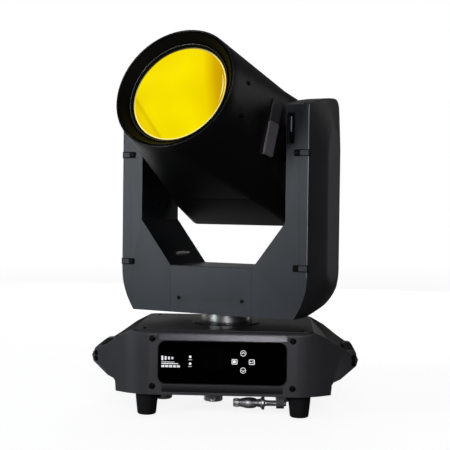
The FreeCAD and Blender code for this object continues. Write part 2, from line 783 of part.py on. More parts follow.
def side_profile(inset, low_cut):
    """An arm seen from the side: sloped top, round rear corner; low_cut takes the rear foot off."""
    back = S.yoke_half_depth - inset
    top = S.arm_top - inset
    points = [(-back, S.yoke_bottom + inset), (-back, S.arm_top_front - inset),
              (-17, top - 6), (20, top - 0.5), (46, top), (56, top - 4), (back, top - 14)]
    if low_cut:
        points += [(back, 170), (29, S.yoke_bottom + 19 + inset), (-13, S.yoke_bottom + inset)]
    else:
        points += [(back, S.yoke_bottom + inset)]
    return points


def on_haunch(piece):
    """Put a +Z piece on the slope between the web and the left arm, facing out of the slope."""
    rise, run = S.haunch_top - S.web_top, S.arm_inner - S.web_half
    slope = math.degrees(math.atan2(rise.number, run.number))
    share = 0.24
    return moved(piece, (-S.web_half - run * share, 0, S.web_top + rise * share), (0, 1, 0),
                 slope)


def cover_recess(sheet_y):
    """The shallow recess in the web that its cover lies in; sheet_y is the sheet's -Y face."""
    return box((-S.web_cover_half, sheet_y, S.yoke_bottom - 1),
               (S.web_cover_half, sheet_y + S.web_cover_sheet, S.web_top))


def yoke_frame():
    """One hollow casting: two arms and the web between them, open to the outside of each arm."""
    inner = [(S.arm_inner, S.arm_top + 5), (S.arm_inner, S.haunch_top), (S.web_half, S.web_top)]
    right = lower_curve(0) + [(S.arm_outer, S.arm_top + 5)] + inner
    left = [(-x, z) for x, z in reversed(right)]
    depth = S.yoke_half_depth
    outline = prism("xz", right + left, -depth, depth)
    limits = prism("yz", side_profile(0, False), -S.arm_outer - 5, S.arm_outer + 5)
    body = common(outline, limits)
    w = S.wall
    pocket = [(80, S.yoke_bottom + w), (S.arm_outer + 10, S.yoke_bottom + w),
              (S.arm_outer + 10, S.arm_top_front - w), (S.arm_inner + w, S.arm_top_front - w),
              (S.arm_inner + w, S.haunch_top - 1), (80, S.web_top - w)]
    heel = [(depth + 2, 171.5), (29, S.yoke_bottom + 19), (-13, S.yoke_bottom - 0.01),
            (depth + 2, S.yoke_bottom - 2)]
    tools = [
        rod((0, 0, S.yoke_bottom - 1), S.shaft_bore, 60),
        box((138, -62, S.tilt_z - 3.4), (150, -57, S.tilt_z + 44.6)),
        on_haunch(box((-3, -20, -14), (3, 20, 3))),
        box((-72, -70, 128), (72, -8, 195)), box((-72, 8, 128), (72, 70, 195)),
        cover_recess(-depth), cover_recess(depth - S.web_cover_sheet),
        prism("yz", heel, -190, -130), prism("yz", heel, 130, 190),
        rod((-150, 0, S.tilt_z), S.hub_radius + 1.5, 40, "x"),
        rod((110, 0, S.tilt_z), S.hub_radius + 1.5, 40, "x"),
    ]
    for side in (-1, 1):
        tools.append(prism("xz", [(dim(x) * side, z) for x, z in pocket], w - depth, depth - w))
        for x in (-S.side_screw_x, S.side_screw_x):
            for z in (S.tab_low, S.tab_high):
                tools.append(rod((x, depth * side - 10, z), S.screw_shank, 20, "y"))
        for x in (-S.web_screw_x, S.web_screw_x):
            tools.append(rod((x, depth * side - 14, S.web_screw_z), S.screw_shank, 30, "y"))
    return cut(body, *tools)


def web_cover(side):
    """The flat cover over the web's opening; side is -1 at the front and 1 at the rear."""
    front = -S.yoke_half_depth if side < 0 else S.yoke_half_depth - S.web_cover_sheet
    gap = S.fit_gap
    plate = box((gap - S.web_cover_half, front, S.yoke_bottom),
                (S.web_cover_half - gap, front + S.web_cover_sheet, S.web_top - gap))
    holes = [rod((x, front - 5, S.web_screw_z), S.screw_shank, 12, "y")
             for x in (-S.web_screw_x, S.web_screw_x)]
    return cut(plate, *holes)


def arm_cover_block(inset):
    """The bulging outer side of the right arm: three outlines crossed, each set in by inset."""
    reach = S.cover_out - S.arm_outer - inset
    out = S.cover_out - inset
    top = S.arm_top - inset
    inner_edge = [(100, top), (100, S.yoke_bottom + inset)]
    (start_x, start_z), *rest = lower_curve(reach)
    outer = [(start_x, start_z + inset)] + rest
    elevation = outer + [(out, 429), (S.arm_outer + 2 - inset, top)] + inner_edge
    depth = S.yoke_half_depth - inset
    plan = [(100, -depth), (S.arm_outer - inset * 0.8, -depth), (out, S.facet_front),
            (out, S.facet_back), (S.arm_outer + 3 - inset, depth), (100, depth)]
    return common(prism("xz", elevation, -depth, depth),
                  prism("yz", side_profile(inset, True), 90, 200),
                  prism("xy", plan, S.yoke_bottom - 1, S.arm_top + 5))


def side_cover():
    """The right arm's cover: a thin shell outside the arm, with four tabs onto its plates."""
    shell = cut(arm_cover_block(0), arm_cover_block(S.wall))
    frame_side = lower_curve(0) + [(S.arm_outer, S.arm_top + 6), (90, S.arm_top + 6),
                                   (90, S.yoke_bottom - 2), (140, S.yoke_bottom - 2)]
    depth, half, gauge = S.yoke_half_depth, S.tab_height / 2, S.tab_sheet
    shell = cut(shell, prism("xz", frame_side, -depth - 3, depth + 3))
    tabs, holes = [], []
    for z in (S.tab_low, S.tab_high):
        low, high = z - half, z + half
        tabs += [
            box((S.tab_inner, -depth - gauge, low), (S.arm_outer + 1, -depth, high)),
            box((S.tab_inner, depth, low), (S.arm_outer + 1, depth + gauge, high)),
            box((S.arm_outer, -depth - gauge, low), (S.arm_outer + 2, 4 - depth, high)),
            box((S.arm_outer, depth - 4, low), (S.arm_outer + 2, depth + gauge, high)),
        ]
        holes.append(rod((S.side_screw_x, -80, z), S.screw_shank, 160, "y"))
    return cut(fuse(shell, *tabs), *holes)


def small_screw():
    return screw(S.screw_head, S.screw_head_height, S.screw_shank, S.screw_length)


def yoke_screws(spots, seat):
    """Screws into the front and the rear of the yoke at the same places."""
    pieces = []
    for x, z in spots:
        front = at_front(small_screw(), x, -seat, z)
        pieces += [front, mirrored(front, (0, 1, 0))]
    return pieces


def pan_shaft():
    """The bright collar under the yoke, its tube and the belt wheel, all on the pan axis."""
    bore, tube, wheel = S.shaft_bore, S.shaft_radius, S.pan_wheel_radius
    low, high = S.pan_belt_low, S.pan_belt_high
    rim = grooved(bore, wheel, low, high)
    return turned(rim[:-1] + [(tube, high + S.flange_step), (tube, S.collar_low),
                              (S.collar_radius, S.collar_low), (S.collar_radius, S.yoke_bottom),
                              (bore, S.yoke_bottom)])


def tilt_motor():
    z, half = S.tilt_motor_z, S.motor_half
    case = box((S.arm_inner + S.wall, -half, z - half), (158, half, z + half))
    return cut(case, rod((146, 0, z), S.motor_shaft + S.running_gap, 30, "x"))


def tilt_bearings():
    """A bearing ring inside each arm's inner wall."""
    width, bore = S.tilt_bearing_width, S.trunnion_radius + S.running_gap
    ring = rod((S.tilt_bearing_in, 0, S.tilt_z), S.tilt_bearing_radius, width, "x")
    right = cut(ring, rod((S.tilt_bearing_in - 1, 0, S.tilt_z), bore, width + 2, "x"))
    return group(right, mirrored(right, (1, 0, 0)))


def tilt_lock_latch():
    """A thin slide in the right arm's front wall: a blade outside, a plate inside."""
    z = S.tilt_z
    blade = box((142.8, -60.6, z + 14.6), (145.2, -56, z + 40))
    plate = box((139.5, -57.4, z - 9), (152, -55, z + 50))
    return fuse(blade, plate)


def pan_lock_lever():
    """A finger bar over the slot in the left haunch, on a stem that goes inside."""
    bar = box((-4, -21, 0.5), (4, 21, 5.5))
    bar = rounded(bar, 2, lambda edge: along(edge, (0, 1, 0)) and edge.CenterOfMass.z > 5)
    stem = box((-2.6, -12, -8), (2.6, 12, 0.5))
    return on_haunch(fuse(bar, stem))


def build_yoke():
    node("yoke_frame", yoke_frame(), "yoke")
    node("web_front_cover", web_cover(-1), "yoke")
    node("web_rear_cover", web_cover(1), "yoke")
    right = side_cover()
    node("side_cover_right", right, "yoke")
    node("side_cover_left", mirrored(right, (1, 0, 0)), "yoke")
    tabs = [(S.side_screw_x * side, z) for side in (-1, 1) for z in (S.tab_low, S.tab_high)]
    web = [(S.web_screw_x * side, S.web_screw_z) for side in (-1, 1)]
    node("yoke_screws", group(*yoke_screws(tabs, S.yoke_half_depth + S.tab_sheet),
                              *yoke_screws(web, S.yoke_half_depth)), "yoke")
    node("pan_shaft", pan_shaft(), "yoke")
    node("tilt_motor", tilt_motor(), "yoke")
    shaft = pinion(S.tilt_pinion_radius, S.tilt_belt_in, S.tilt_belt_out, 147)
    node("tilt_motor_pulley", moved(shaft, (0, 0, S.tilt_motor_z), (0, 1, 0), 90), "yoke")
    loop = belt(SIZES["tilt_wheel_radius"], SIZES["tilt_pinion_radius"],
                SIZES["tilt_z"] - SIZES["tilt_motor_z"],
                SIZES["tilt_belt_out"] - SIZES["tilt_belt_in"])
    upright = moved(loop, axis=(0, 1, 0), angle=90)
    flipped = moved(upright, axis=(1, 0, 0), angle=180)
    node("tilt_belt", moved(flipped, (S.tilt_belt_in, 0, S.tilt_z)), "yoke")
    node("tilt_bearings", tilt_bearings(), "yoke")
    node("tilt_lock_latch", tilt_lock_latch(), "yoke")
    node("pan_lock_lever", pan_lock_lever(), "yoke")


# ---- head, about the tilt axis with the beam along -Y ----

def section(half, corner, u, inset):
    """A rounded-square section across the beam, at a distance u in front of the tilt axis."""
    size = half - inset
    return round_rectangle("xz", (-size, -size), (size, size), corner - inset, -u)


def front_solid(inset, ends):
    return loft([section(S.rim_half, S.rim_corner, S.rim_u + ends, inset),
                 section(S.body_half, S.seam_corner, S.seam_u - ends, inset)])


def hub_passage():
    """The round notch that a shroud leaves for the tilt hubs."""
    return rod((-120, 0, 0), S.hub_radius + 1, 240, "x")


def front_shroud():
    """The barrel: round at the rim, blending evenly to a rounded square at the seam."""
    shell = cut(front_solid(0, 0), front_solid(S.skin, 0.01))
    seats = screw_tools(lambda: rod((0, 0, 0), S.screw_head + 0.1, 5))
    holes = screw_tools(lambda: drill(S.screw_shank, 12))
    return cut(shell, hub_passage(), *seats, *holes)


def rear_solid(inset, ends):
    return loft([section(S.rear_body_half, S.rear_body_corner, S.seam_u + ends, inset),
                 section(S.rear_body_half, S.taper_corner, S.taper_u, inset),
                 section(S.rear_half, S.rear_corner, S.rear_u + inset, inset)])


def rear_shroud():
    """The closed rear half: tapered to the back, with air slots in its rear wall."""
    shell = cut(rear_solid(0, 0), rear_solid(S.skin, 0.01))
    back = -S.rear_u
    slots = [box((-50, back - 10, z - 2.5), (50, back + 6, z + 2.5)) for z in range(-48, 49, 12)]
    return cut(shell, hub_passage(), *slots)


def screw_tools(make):
    """Place a +Z piece at each of the barrel's side screws, facing outwards."""
    placed = []
    for side in (-1, 1):
        for z in (-S.barrel_screw_z, S.barrel_screw_z):
            spot = (S.barrel_screw_x * side, -S.barrel_screw_u, z)
            placed.append(moved(make(), spot, (0, 1, 0), 90 * side))
    return placed


def lens_hood_ring():
    """The dark cone that falls from the rim to the lens, and the lip that holds the lens."""
    face, back, lip = S.lens_face_u, S.lens_back_u, S.lens_window
    outer, seat = S.rim_half - S.skin - 0.4, S.lens_radius + S.fit_gap
    return turned([(lip, -face), (lip, -face - 2.5), (lip + 3, -face - 3.2),
                   (outer - 1.5, 0.6 - S.rim_u), (outer, 0.6 - S.rim_u), (outer, -back),
                   (seat, -back), (seat, -face)], "y")


def front_lens():
    """A plano-convex lens: a disc with a spherical cap."""
    rise, radius = S.lens_dome, S.lens_window - 0.6
    sphere_radius = (radius * radius + rise * rise) / (rise * 2)
    ball = doc.addObject("Part::Sphere", "LensBall")
    tie(ball, "Radius", sphere_radius)
    tie_base(ball, (0, sphere_radius - S.lens_face_u - rise, 0))
    barrel = rod((0, -S.lens_face_u - rise - 1, 0), radius, rise + 1, "y")
    disc = rod((0, -S.lens_face_u, 0), S.lens_radius, S.lens_face_u - S.lens_back_u, "y")
    return fuse(common(ball, barrel), disc)


def side_band(side):
    """A strap on the barrel's flat side, between the shroud and the arm."""
    low = S.body_half + 0.1
    high = low + S.band_sheet
    strap = box((low, -S.band_high_u, S.band_low_z), (high, -S.band_low_u, S.band_high_z))
    return strap if side > 0 else mirrored(strap, (1, 0, 0))


def head_chassis():
    """The frame inside the head: side plates, bulkheads, guide rods and spindles."""
    plates = [box((-90, -12, -74), (90, -8, 74)), box((-88, 108, -45), (88, 112, 45)),
              box((-88, -150, -55), (88, -146, 55))]
    plates += [box((-92, -150, -40), (-88, 112, 40)), box((88, -150, -40), (92, 112, 40))]
    rods = [rod((S.rod_x * side, -148, 0), S.rod_radius, 138, "y") for side in (-1, 1)]
    pivot = S.spindle_radius
    spindles = [rod((0, -24, -S.wheel_offset), pivot, 14, "y"),
                rod((0, -34, S.wheel_offset), pivot, 24, "y"), rod((0, 110, 0), pivot, 28, "y")]
    frame = fuse(*plates, *rods, *spindles)
    windows = [rod((0, -20, 0), 28, 14, "y"), rod((0, -160, 0), 50, 20, "y")]
    passages = [rod((80, 0, 0), S.trunnion_bore, 20, "x"),
                rod((-100, 0, 0), S.trunnion_bore, 20, "x")]
    return cut(frame, *windows, *passages)


def tilt_hubs():
    """A hub on each of the chassis's side plates, stepped down to a hollow trunnion."""
    plate, end, bore = S.chassis_half, S.trunnion_end, S.trunnion_bore
    right = turned([(bore, plate), (S.hub_radius, plate), (S.hub_radius, S.hub_end),
                    (S.trunnion_radius, S.hub_end), (S.trunnion_radius, end), (bore, end)], "x")
    return group(right, mirrored(right, (1, 0, 0)))


def tilt_drive_pulley():
    """The belt wheel on the end of the right trunnion."""
    low, high, bore = S.tilt_belt_in, S.tilt_belt_out, S.trunnion_bore
    neck = S.trunnion_radius + 2
    rim = grooved(neck, S.tilt_wheel_radius, low, high)
    boss = [(bore, S.trunnion_end), (neck, S.trunnion_end)]
    return turned(boss + rim[:-1] + [(bore, high + S.flange_step)], "x")


def filter_wheel(z, u, count, hole):
    """A disc of round windows on its own spindle; one window is always on the beam."""
    disc = rod((0, -u - 3, z), S.wheel_radius, 3, "y")
    start = 90 if z.number < 0 else -90
    tools = [rod((0, -u - 5, z), S.spindle_radius + S.running_gap, 8, "y")]
    for i in range(count):
        turn = math.radians(start + 360.0 * i / count)
        x, rise = S.wheel_offset * math.cos(turn), S.wheel_offset * math.sin(turn)
        tools.append(rod((x, -u - 5, z + rise), hole, 8, "y"))
    return cut(disc, *tools)


def focus_carriage():
    """A lens in a ring that slides on the two guide rods."""
    ring = cut(rod((0, -88, 0), 34, 10, "y"), rod((0, -90, 0), 29, 14, "y"))
    ears = [box((30 if side > 0 else -70, -88, -7), (70 if side > 0 else -30, -78, 7))
            for side in (-1, 1)]
    glass = rod((0, -86, 0), 29, 6, "y")
    bores = [rod((S.rod_x * side, -95, 0), S.rod_radius + S.running_gap, 24, "y")
             for side in (-1, 1)]
    return cut(fuse(ring, *ears, glass), *bores)


def reflector():
    """An open elliptical bowl round the lamp."""
    return turned([(44, 4), (47, 4), (46, 22), (41, 40), (32, 56), (20, 68), (14, 71), (14, 68.5),
                   (18.5, 66), (29.5, 54), (38, 38.5), (43, 21.5)], "y")


def lamp():
    """A short-arc discharge lamp: ceramic base, stem and bulb."""
    return turned([(0, 34), (3, 35), (8, 42), (9, 48), (8, 54), (4.5, 61), (4.5, 78), (12, 80),
                   (12, 108), (0, 108)], "y")


def cooling_fan():
    """A seven-blade axial fan at the back of the head."""
    near, far, count, pitch = -S.fan_high_u, -S.fan_low_u, 7, 35
    blades = []
    for i in range(count):
        blade = moved(box((-9, -1, 10), (9, 1, 36)), axis=(0, 0, 1), angle=pitch)
        centred = moved(blade, (0, (near + far) / 2, 0))
        blades.append(moved(centred, axis=(0, 1, 0), angle=360.0 / count * i))
    hub = rod((0, near, 0), S.fan_hub, far - near, "y")
    bore = rod((0, near - 2, 0), S.spindle_radius + S.running_gap, 22.5, "y")
    return cut(fuse(hub, *blades), bore)


def build_head():
    node("head_chassis", head_chassis(), "head")
    node("tilt_hubs", tilt_hubs(), "head")
    node("tilt_drive_pulley", tilt_drive_pulley(), "head")
    node("front_shroud", front_shroud(), "head")
    node("rear_shroud", rear_shroud(), "head")
    node("side_band_left", side_band(-1), "head")
    node("side_band_right", side_band(1), "head")
    node("lens_hood_ring", lens_hood_ring(), "head")
    node("front_lens", front_lens(), "head")
    node("shroud_screws", group(*screw_tools(small_screw)), "head")
    node("lamp", lamp(), "head")
    node("reflector", reflector(), "head")
    node("cooling_fan", cooling_fan(), "head")
    node("color_wheel", filter_wheel(-S.wheel_offset, 16, 8, 9), "head")
    node("gobo_wheel", filter_wheel(S.wheel_offset, 26, 12, 7), "head")
    node("focus_carriage", focus_carriage(), "head")


def check_and_export():
    """Refuse a failed feature or a broken solid, then write one STEP file for each node."""
    doc.recompute()
    for thing in doc.Objects:
        if "Invalid" in thing.State or "Error" in thing.State:
            raise RuntimeError("%s (%s) failed: %s" % (thing.Name, thing.TypeId, thing.State))
    os.makedirs("parts", exist_ok=True)
    for holder in nodes:
        shape = holder.Shape
        if shape.isNull() or not shape.isValid() or not shape.Solids:
            raise RuntimeError("%s has no valid solid" % holder.Label)
        shape.exportStep(os.path.join("parts", holder.Label + ".step"))
    print("%d nodes written" % len(nodes))


build_base()
build_yoke()
build_head()
check_and_export()
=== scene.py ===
"""Looks of a moving head light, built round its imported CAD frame. Sizes are in millimetres."""

import math

import bmesh
import bpy
from mathutils import Matrix, Vector
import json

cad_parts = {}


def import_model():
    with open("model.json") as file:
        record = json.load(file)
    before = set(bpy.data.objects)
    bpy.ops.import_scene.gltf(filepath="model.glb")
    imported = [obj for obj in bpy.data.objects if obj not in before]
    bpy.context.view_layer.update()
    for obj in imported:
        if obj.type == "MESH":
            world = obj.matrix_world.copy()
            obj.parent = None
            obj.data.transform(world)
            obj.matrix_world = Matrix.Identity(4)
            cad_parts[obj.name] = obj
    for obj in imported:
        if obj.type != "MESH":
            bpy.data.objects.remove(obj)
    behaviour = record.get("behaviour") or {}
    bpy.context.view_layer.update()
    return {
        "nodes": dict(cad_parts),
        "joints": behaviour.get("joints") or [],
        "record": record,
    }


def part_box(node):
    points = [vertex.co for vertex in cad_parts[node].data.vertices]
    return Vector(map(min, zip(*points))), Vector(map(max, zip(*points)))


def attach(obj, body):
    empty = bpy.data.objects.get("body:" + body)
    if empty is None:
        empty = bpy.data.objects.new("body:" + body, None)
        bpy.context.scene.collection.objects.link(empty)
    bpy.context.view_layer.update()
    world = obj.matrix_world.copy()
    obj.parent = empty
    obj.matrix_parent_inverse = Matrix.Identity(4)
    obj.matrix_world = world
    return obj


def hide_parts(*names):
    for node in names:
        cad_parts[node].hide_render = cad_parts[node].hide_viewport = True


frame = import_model()

MM = 0.001
TAU = 2 * math.pi
SIDES = (-1, 1)
CORNERS = [(i, j) for i in SIDES for j in SIDES]


# ---- frames: the yoke's and the head's own axes, read from the joints ----

def joint(name):
    return next(j for j in frame["joints"] if j["name"] == name)


def axes_matrix(x_axis, y_axis, z_axis, origin):
    turn = Matrix((x_axis, y_axis, z_axis)).transposed().to_4x4()
    return Matrix.Translation(origin) @ turn @ Matrix.Scale(MM, 4)


SIDE = -Vector(joint("tilt")["axis"])
BEAM = Vector(joint("focus_slide")["axis"])
PIVOT = Vector(joint("tilt")["pos_m"])
UP = Vector((0, 0, 1))
BASE = Matrix.Scale(MM, 4)
YOKE = axes_matrix(SIDE, UP.cross(SIDE), UP, Vector())
HEAD = axes_matrix(SIDE, -BEAM, SIDE.cross(-BEAM), PIVOT)
PLACE_OF = {"base": BASE, "yoke": YOKE, "head": HEAD}


def local_box(node, place):
    """The lowest and highest corner of a CAD node in one of the frames above."""
    back = place.inverted()
    spots = [back @ v.co for v in frame["nodes"][node].data.vertices]
    return [Vector([pick(p[i] for p in spots) for i in range(3)]) for pick in (min, max)]


def base_box(node):
    """The lowest corner, highest corner and middle of a CAD node in the base's frame."""
    low, high = (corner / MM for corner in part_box(node))
    return low, high, [(a + b) / 2 for a, b in zip(low, high)]


# ---- materials ----

LOOKS = {}
CLOUD_SCALE = 14
WORN_FROM, WORN_TO, WORN_TONE = 0.52, 0.62, 3.5
# Between these values a face counts as facing sideways, for the painted side shade and reflection.
PAINTED_SIDE_FROM, PAINTED_SIDE_TO = 0.45, 0.75
GRAIN_DEPTH = 0.0004
# How dark the fade leaves the far side of a painted highlight ring.
PAINTED_FADE_TONE = 0.08


def fill(tree, node, inputs):
    """Link or set the inputs of a node."""
    for key, value in inputs.items():
        if isinstance(value, bpy.types.NodeSocket):
            tree.links.new(value, node.inputs[key])
        else:
            node.inputs[key].default_value = value


def add_node(tree, kind, inputs, **settings):
    node = tree.nodes.new("ShaderNode" + kind)
    for name, value in settings.items():
        setattr(node, name, value)
    fill(tree, node, inputs)
    return node


def new_material(name):
    material = LOOKS[name] = bpy.data.materials.new(name)
    material.use_nodes = True
    tree = material.node_tree
    return material, tree, tree.nodes["Principled BSDF"]


def grey(value):
    return (value, value, value, 1)


def tint(color, factor):
    return tuple(min(1.0, c * factor) for c in color) + (1,)


def noise(tree, scale, detail, stretch=None):
    """Object-space noise; stretch squeezes it along an axis for brushed metal."""
    spot = add_node(tree, "TexCoord", {}).outputs["Object"]
    if stretch:
        spot = add_node(tree, "Mapping", {"Scale": stretch, "Vector": spot}).outputs["Vector"]
    return add_node(tree, "TexNoise", {"Scale": scale, "Detail": detail,
                                       "Vector": spot}).outputs["Fac"]


def ramp(tree, source, *stops):
    """Colours or greys over a value; each stop is a value and its colour or grey."""
    node = add_node(tree, "ValToRGB", {"Fac": source})
    marks = node.color_ramp.elements
    stops = [(at, tone if isinstance(tone, tuple) else grey(tone)) for at, tone in stops]
    marks[0].position, marks[0].color = stops[0]
    marks[1].position, marks[1].color = stops[-1]
    for at, tone in stops[1:-1]:
        marks.new(at).color = tone
    return node.outputs["Color"]


def mixed(tree, share, first, second, blend="MIX"):
    return add_node(tree, "Mix", {"Factor": share, "A": first, "B": second}, data_type="RGBA",
                    blend_type=blend).outputs["Result"]


def along(tree, coordinate, direction):
    """How far a texture coordinate lies along a direction."""
    spot = add_node(tree, "TexCoord", {}).outputs[coordinate]
    return add_node(tree, "VectorMath", {0: spot, 1: direction},
                    operation="DOT_PRODUCT").outputs["Value"]


def ranged(tree, source, start, end, low=0.0, high=1.0):
    return add_node(tree, "MapRange", {"Value": source, "From Min": start, "From Max": end,
                                       "To Min": low, "To Max": high}).outputs["Result"]


def across_lens(tree, side, rise, start, end):
    """0 to 1 between two distances, measured in the lens's plane along a chosen direction."""
    direction = (HEAD.to_3x3() @ Vector((side, 0, rise))).normalized()
    level = direction.dot(HEAD.translation)
    return ranged(tree, along(tree, "Object", direction), level + start * MM, level + end * MM)


def finish(name, color, rough, grain=0.0, grain_scale=900, metal=0.0, specular=0.5, blotch=0.12,
           wear=0.0, coat=0.0, stretch=None, rough_spread=0.06, glow=0.0, painted_fade=None,
           painted_side_light=None, painted_light_axis=SIDE, side_rough=None):
    """A surface with colour variation, uneven roughness, a fine grain and worn edges.

    Faces that look along the chosen axis take a side colour and a side roughness. The side colour
    is painted light: a painted shade below 1, a painted reflection above 1. A fade dims a ring
    round the lens on one side, so that a painted highlight shows on one side only.
    """
    _, tree, shader = new_material(name)
    tone = ramp(tree, noise(tree, CLOUD_SCALE, 4.0),
                (0.3, tint(color, 1 - blotch)), (0.7, tint(color, 1 + blotch)))
    fine = noise(tree, grain_scale, 3.0, stretch)
    roughness = ramp(tree, fine, (0.25, rough - rough_spread), (0.75, rough + rough_spread))
    gloss = specular
    if wear:
        shape = add_node(tree, "NewGeometry", {}).outputs["Pointiness"]
        worn = ramp(tree, shape, (WORN_FROM, 0), (WORN_TO, wear))
        tone = mixed(tree, worn, tone, tint(color, WORN_TONE))
    # Painted light by facing: faces along the axis are painted darker as shade (with dimmed
    # specular), or lighter as a reflection.
    if painted_side_light is not None:
        width = add_node(tree, "Math", {0: along(tree, "Normal", painted_light_axis)},
                         operation="ABSOLUTE").outputs["Value"]
        band = ramp(tree, width, (PAINTED_SIDE_FROM, 0), (PAINTED_SIDE_TO, 1))
        tone = mixed(tree, band, tone, tint(color, painted_side_light))
        if painted_side_light < 1:
            gloss = ramp(tree, width, (PAINTED_SIDE_FROM, specular),
                         (PAINTED_SIDE_TO, specular * painted_side_light))
        if side_rough is not None:
            roughness = mixed(tree, band, roughness, grey(side_rough))
    # Painted highlight: the colour dims across the lens towards one side.
    if painted_fade:
        tone = mixed(tree, across_lens(tree, *painted_fade), tint(color, PAINTED_FADE_TONE), tone)
    fill(tree, shader, {"Metallic": metal, "Specular IOR Level": gloss, "Coat Weight": coat,
                        "Coat Roughness": 0.12, "Base Color": tone, "Roughness": roughness})
    if glow:
        fill(tree, shader, {"Emission Color": tone, "Emission Strength": glow})
    if grain:
        bump = add_node(tree, "Bump", {"Strength": grain, "Distance": GRAIN_DEPTH, "Height": fine})
        fill(tree, shader, {"Normal": bump.outputs["Normal"]})


def lens_material():
    """Yellow coated glass that glows as painted light for the lamp behind it; a painted shade turns
    it golden to one side, and a painted shade band crosses it as a chord.
    """
    _, tree, shader = new_material("lens_glass")
    tone = ramp(tree, noise(tree, 11, 1.0),
                (0.35, (0.88, 0.70, 0.0, 1)), (0.65, (1.0, 0.83, 0.0, 1)))
    painted_golden_shade = ramp(tree, across_lens(tree, 1.0, 0.32, 20, 96),
                  (0.0, grey(1)), (0.35, (0.94, 0.88, 1, 1)), (0.60, (0.68, 0.50, 1, 1)),
                  (1.0, (0.52, 0.30, 1, 1)))
    # A painted shade band across the lens.
    chord = ramp(tree, across_lens(tree, -0.74, -0.67, 52, 78),
                 (0.0, grey(1)), (0.30, (0.98, 0.97, 1, 1)), (0.42, (0.78, 0.72, 1, 1)),
                 (0.52, (0.84, 0.78, 1, 1)), (0.70, (0.94, 0.88, 1, 1)), (1.0, (0.90, 0.80, 1, 1)))
    for layer in (painted_golden_shade, chord):
        tone = mixed(tree, 1.0, tone, layer, "MULTIPLY")
    fill(tree, shader, {"Roughness": 0.10, "Specular IOR Level": 0.18, "Emission Strength": 0.98,
                        "Base Color": (0.06, 0.045, 0.0, 1), "Emission Color": tone})


# The first block holds the record's material slots, the second one looks for single pieces.
# yoke_paint's side factor 0.32 is painted shade: the arms' and haunches' inner faces are painted
# darker, standing in for the head's shadow.
finish("yoke_paint", (0.0295, 0.0335, 0.0420), 0.36, 0.25, 1400, wear=0.25, painted_side_light=0.32)
finish("cover_plastic", (0.046, 0.043, 0.049), 0.42, 0.30, 1600, wear=0.3)
finish("head_plastic", (0.0092, 0.0090, 0.0102), 0.40, 0.18, 1500, specular=0.4, wear=0.2)
finish("hood_black", (0.0018, 0.0018, 0.0020), 0.62, 0.1, 1200, specular=0.09)
# band_grey is partly the strap's own grey and partly a painted reflection: it is lighter than the
# strap's finish.
finish("band_grey", (0.34, 0.32, 0.35), 0.45, 0.25, 1500)
finish("black_casting", (0.070, 0.068, 0.075), 0.44, 0.3, 1300, wear=0.35)
finish("black_sheet", (0.0095, 0.0095, 0.0100), 0.42, 0.35, 1300, wear=0.3)
finish("black_screw", (0.003, 0.003, 0.003), 0.26, 0.1, 800, specular=0.18)
finish("foot_rubber", (0.010, 0.010, 0.011), 0.72, 0.4, 1100, specular=0.3)
finish("bright_steel", (0.66, 0.66, 0.67), 0.26, 0.12, 500, metal=1.0, stretch=(1, 1, 30),
       rough_spread=0.1)
finish("cast_silver", (0.60, 0.60, 0.60), 0.45, 0.9, 420, metal=1.0, blotch=0.2)
finish("bare_aluminium", (0.60, 0.60, 0.62), 0.35, 0.1, 700, metal=1.0)
finish("latch_silver", (0.72, 0.72, 0.73), 0.38, 0.1, 700, metal=0.4)
finish("motor_black", (0.02, 0.02, 0.02), 0.35)
finish("belt_rubber", (0.015, 0.015, 0.015), 0.7, 0.3)
finish("bearing_steel", (0.020, 0.020, 0.021), 0.42, 0.1)
finish("circuit_board", (0.015, 0.09, 0.035), 0.3, coat=0.4)
finish("socket_plastic", (0.03, 0.09, 0.32), 0.38, 0.15)
finish("socket_metal", (0.6, 0.6, 0.6), 0.25, metal=1.0)
finish("button_plastic", (0.0015, 0.0015, 0.0018), 0.42, specular=0.15)
finish("window_gloss", (0.0006, 0.0006, 0.0008), 0.05, specular=0.12, rough_spread=0.02)
finish("lcd", (0.0020, 0.0020, 0.0022), 0.06, specular=0.15, rough_spread=0.02)
finish("indicator_white", (0.92, 0.94, 0.96), 0.4, glow=1.0)
finish("fan_plastic", (0.02, 0.02, 0.02), 0.4)
finish("wheel_aluminium", (0.28, 0.28, 0.29), 0.35, metal=1.0)
finish("carriage_black", (0.02, 0.02, 0.02), 0.35, metal=0.5)
finish("reflector_mirror", (0.85, 0.83, 0.76), 0.08, metal=1.0)
finish("lamp_glass", (0.8, 0.82, 0.85), 0.1, coat=0.5)
lens_material()

finish("turned_steel", (0.80, 0.79, 0.77), 0.28, 0.05, 600, metal=1.0, stretch=(1, 1, 40),
       rough_spread=0.04)
# Lens rim: a glowing painted highlight, faded to one side.
finish("lens_rim_painted_highlight", (0.95, 0.84, 0.30), 0.25, coat=0.3, glow=0.75, painted_fade=(0.5, -0.8, -75, -5))
finish("lens_inner_reflection", (1.0, 0.78, 0.22), 0.25, glow=0.75)
# Retaining ring and barrel rim: light rings that are painted highlights, faded to one side.
finish("retaining_ring_painted_highlight", (0.22, 0.22, 0.225), 0.3, painted_fade=(-0.75, 0.66, -40, 60))
finish("barrel_rim_painted_highlight", (0.16, 0.16, 0.165), 0.3, painted_fade=(0.45, -0.89, -30, 60))
finish("brow_satin", (0.062, 0.059, 0.074), 0.26, 0.2, 1300)
# The strap's upper length: the same strap painted darker, as painted shade.
finish("strap_upper_painted_shade", (0.10, 0.095, 0.105), 0.45, 0.25, 1500)
# The deck's side slopes are painted six times lighter, as a painted reflection, and are also
# glossier.
finish("deck_sheet", (0.0095, 0.0093, 0.0090), 0.46, 0.2, 1300, wear=0.3, painted_side_light=6.0,
       painted_light_axis=(1, 0, 0), side_rough=0.10)
# A lighter tone for the end plates' inner faces by the bends: a painted reflection.
finish("frame_inner_painted_sheen", (0.16, 0.157, 0.152), 0.40, 0.3, 1300)
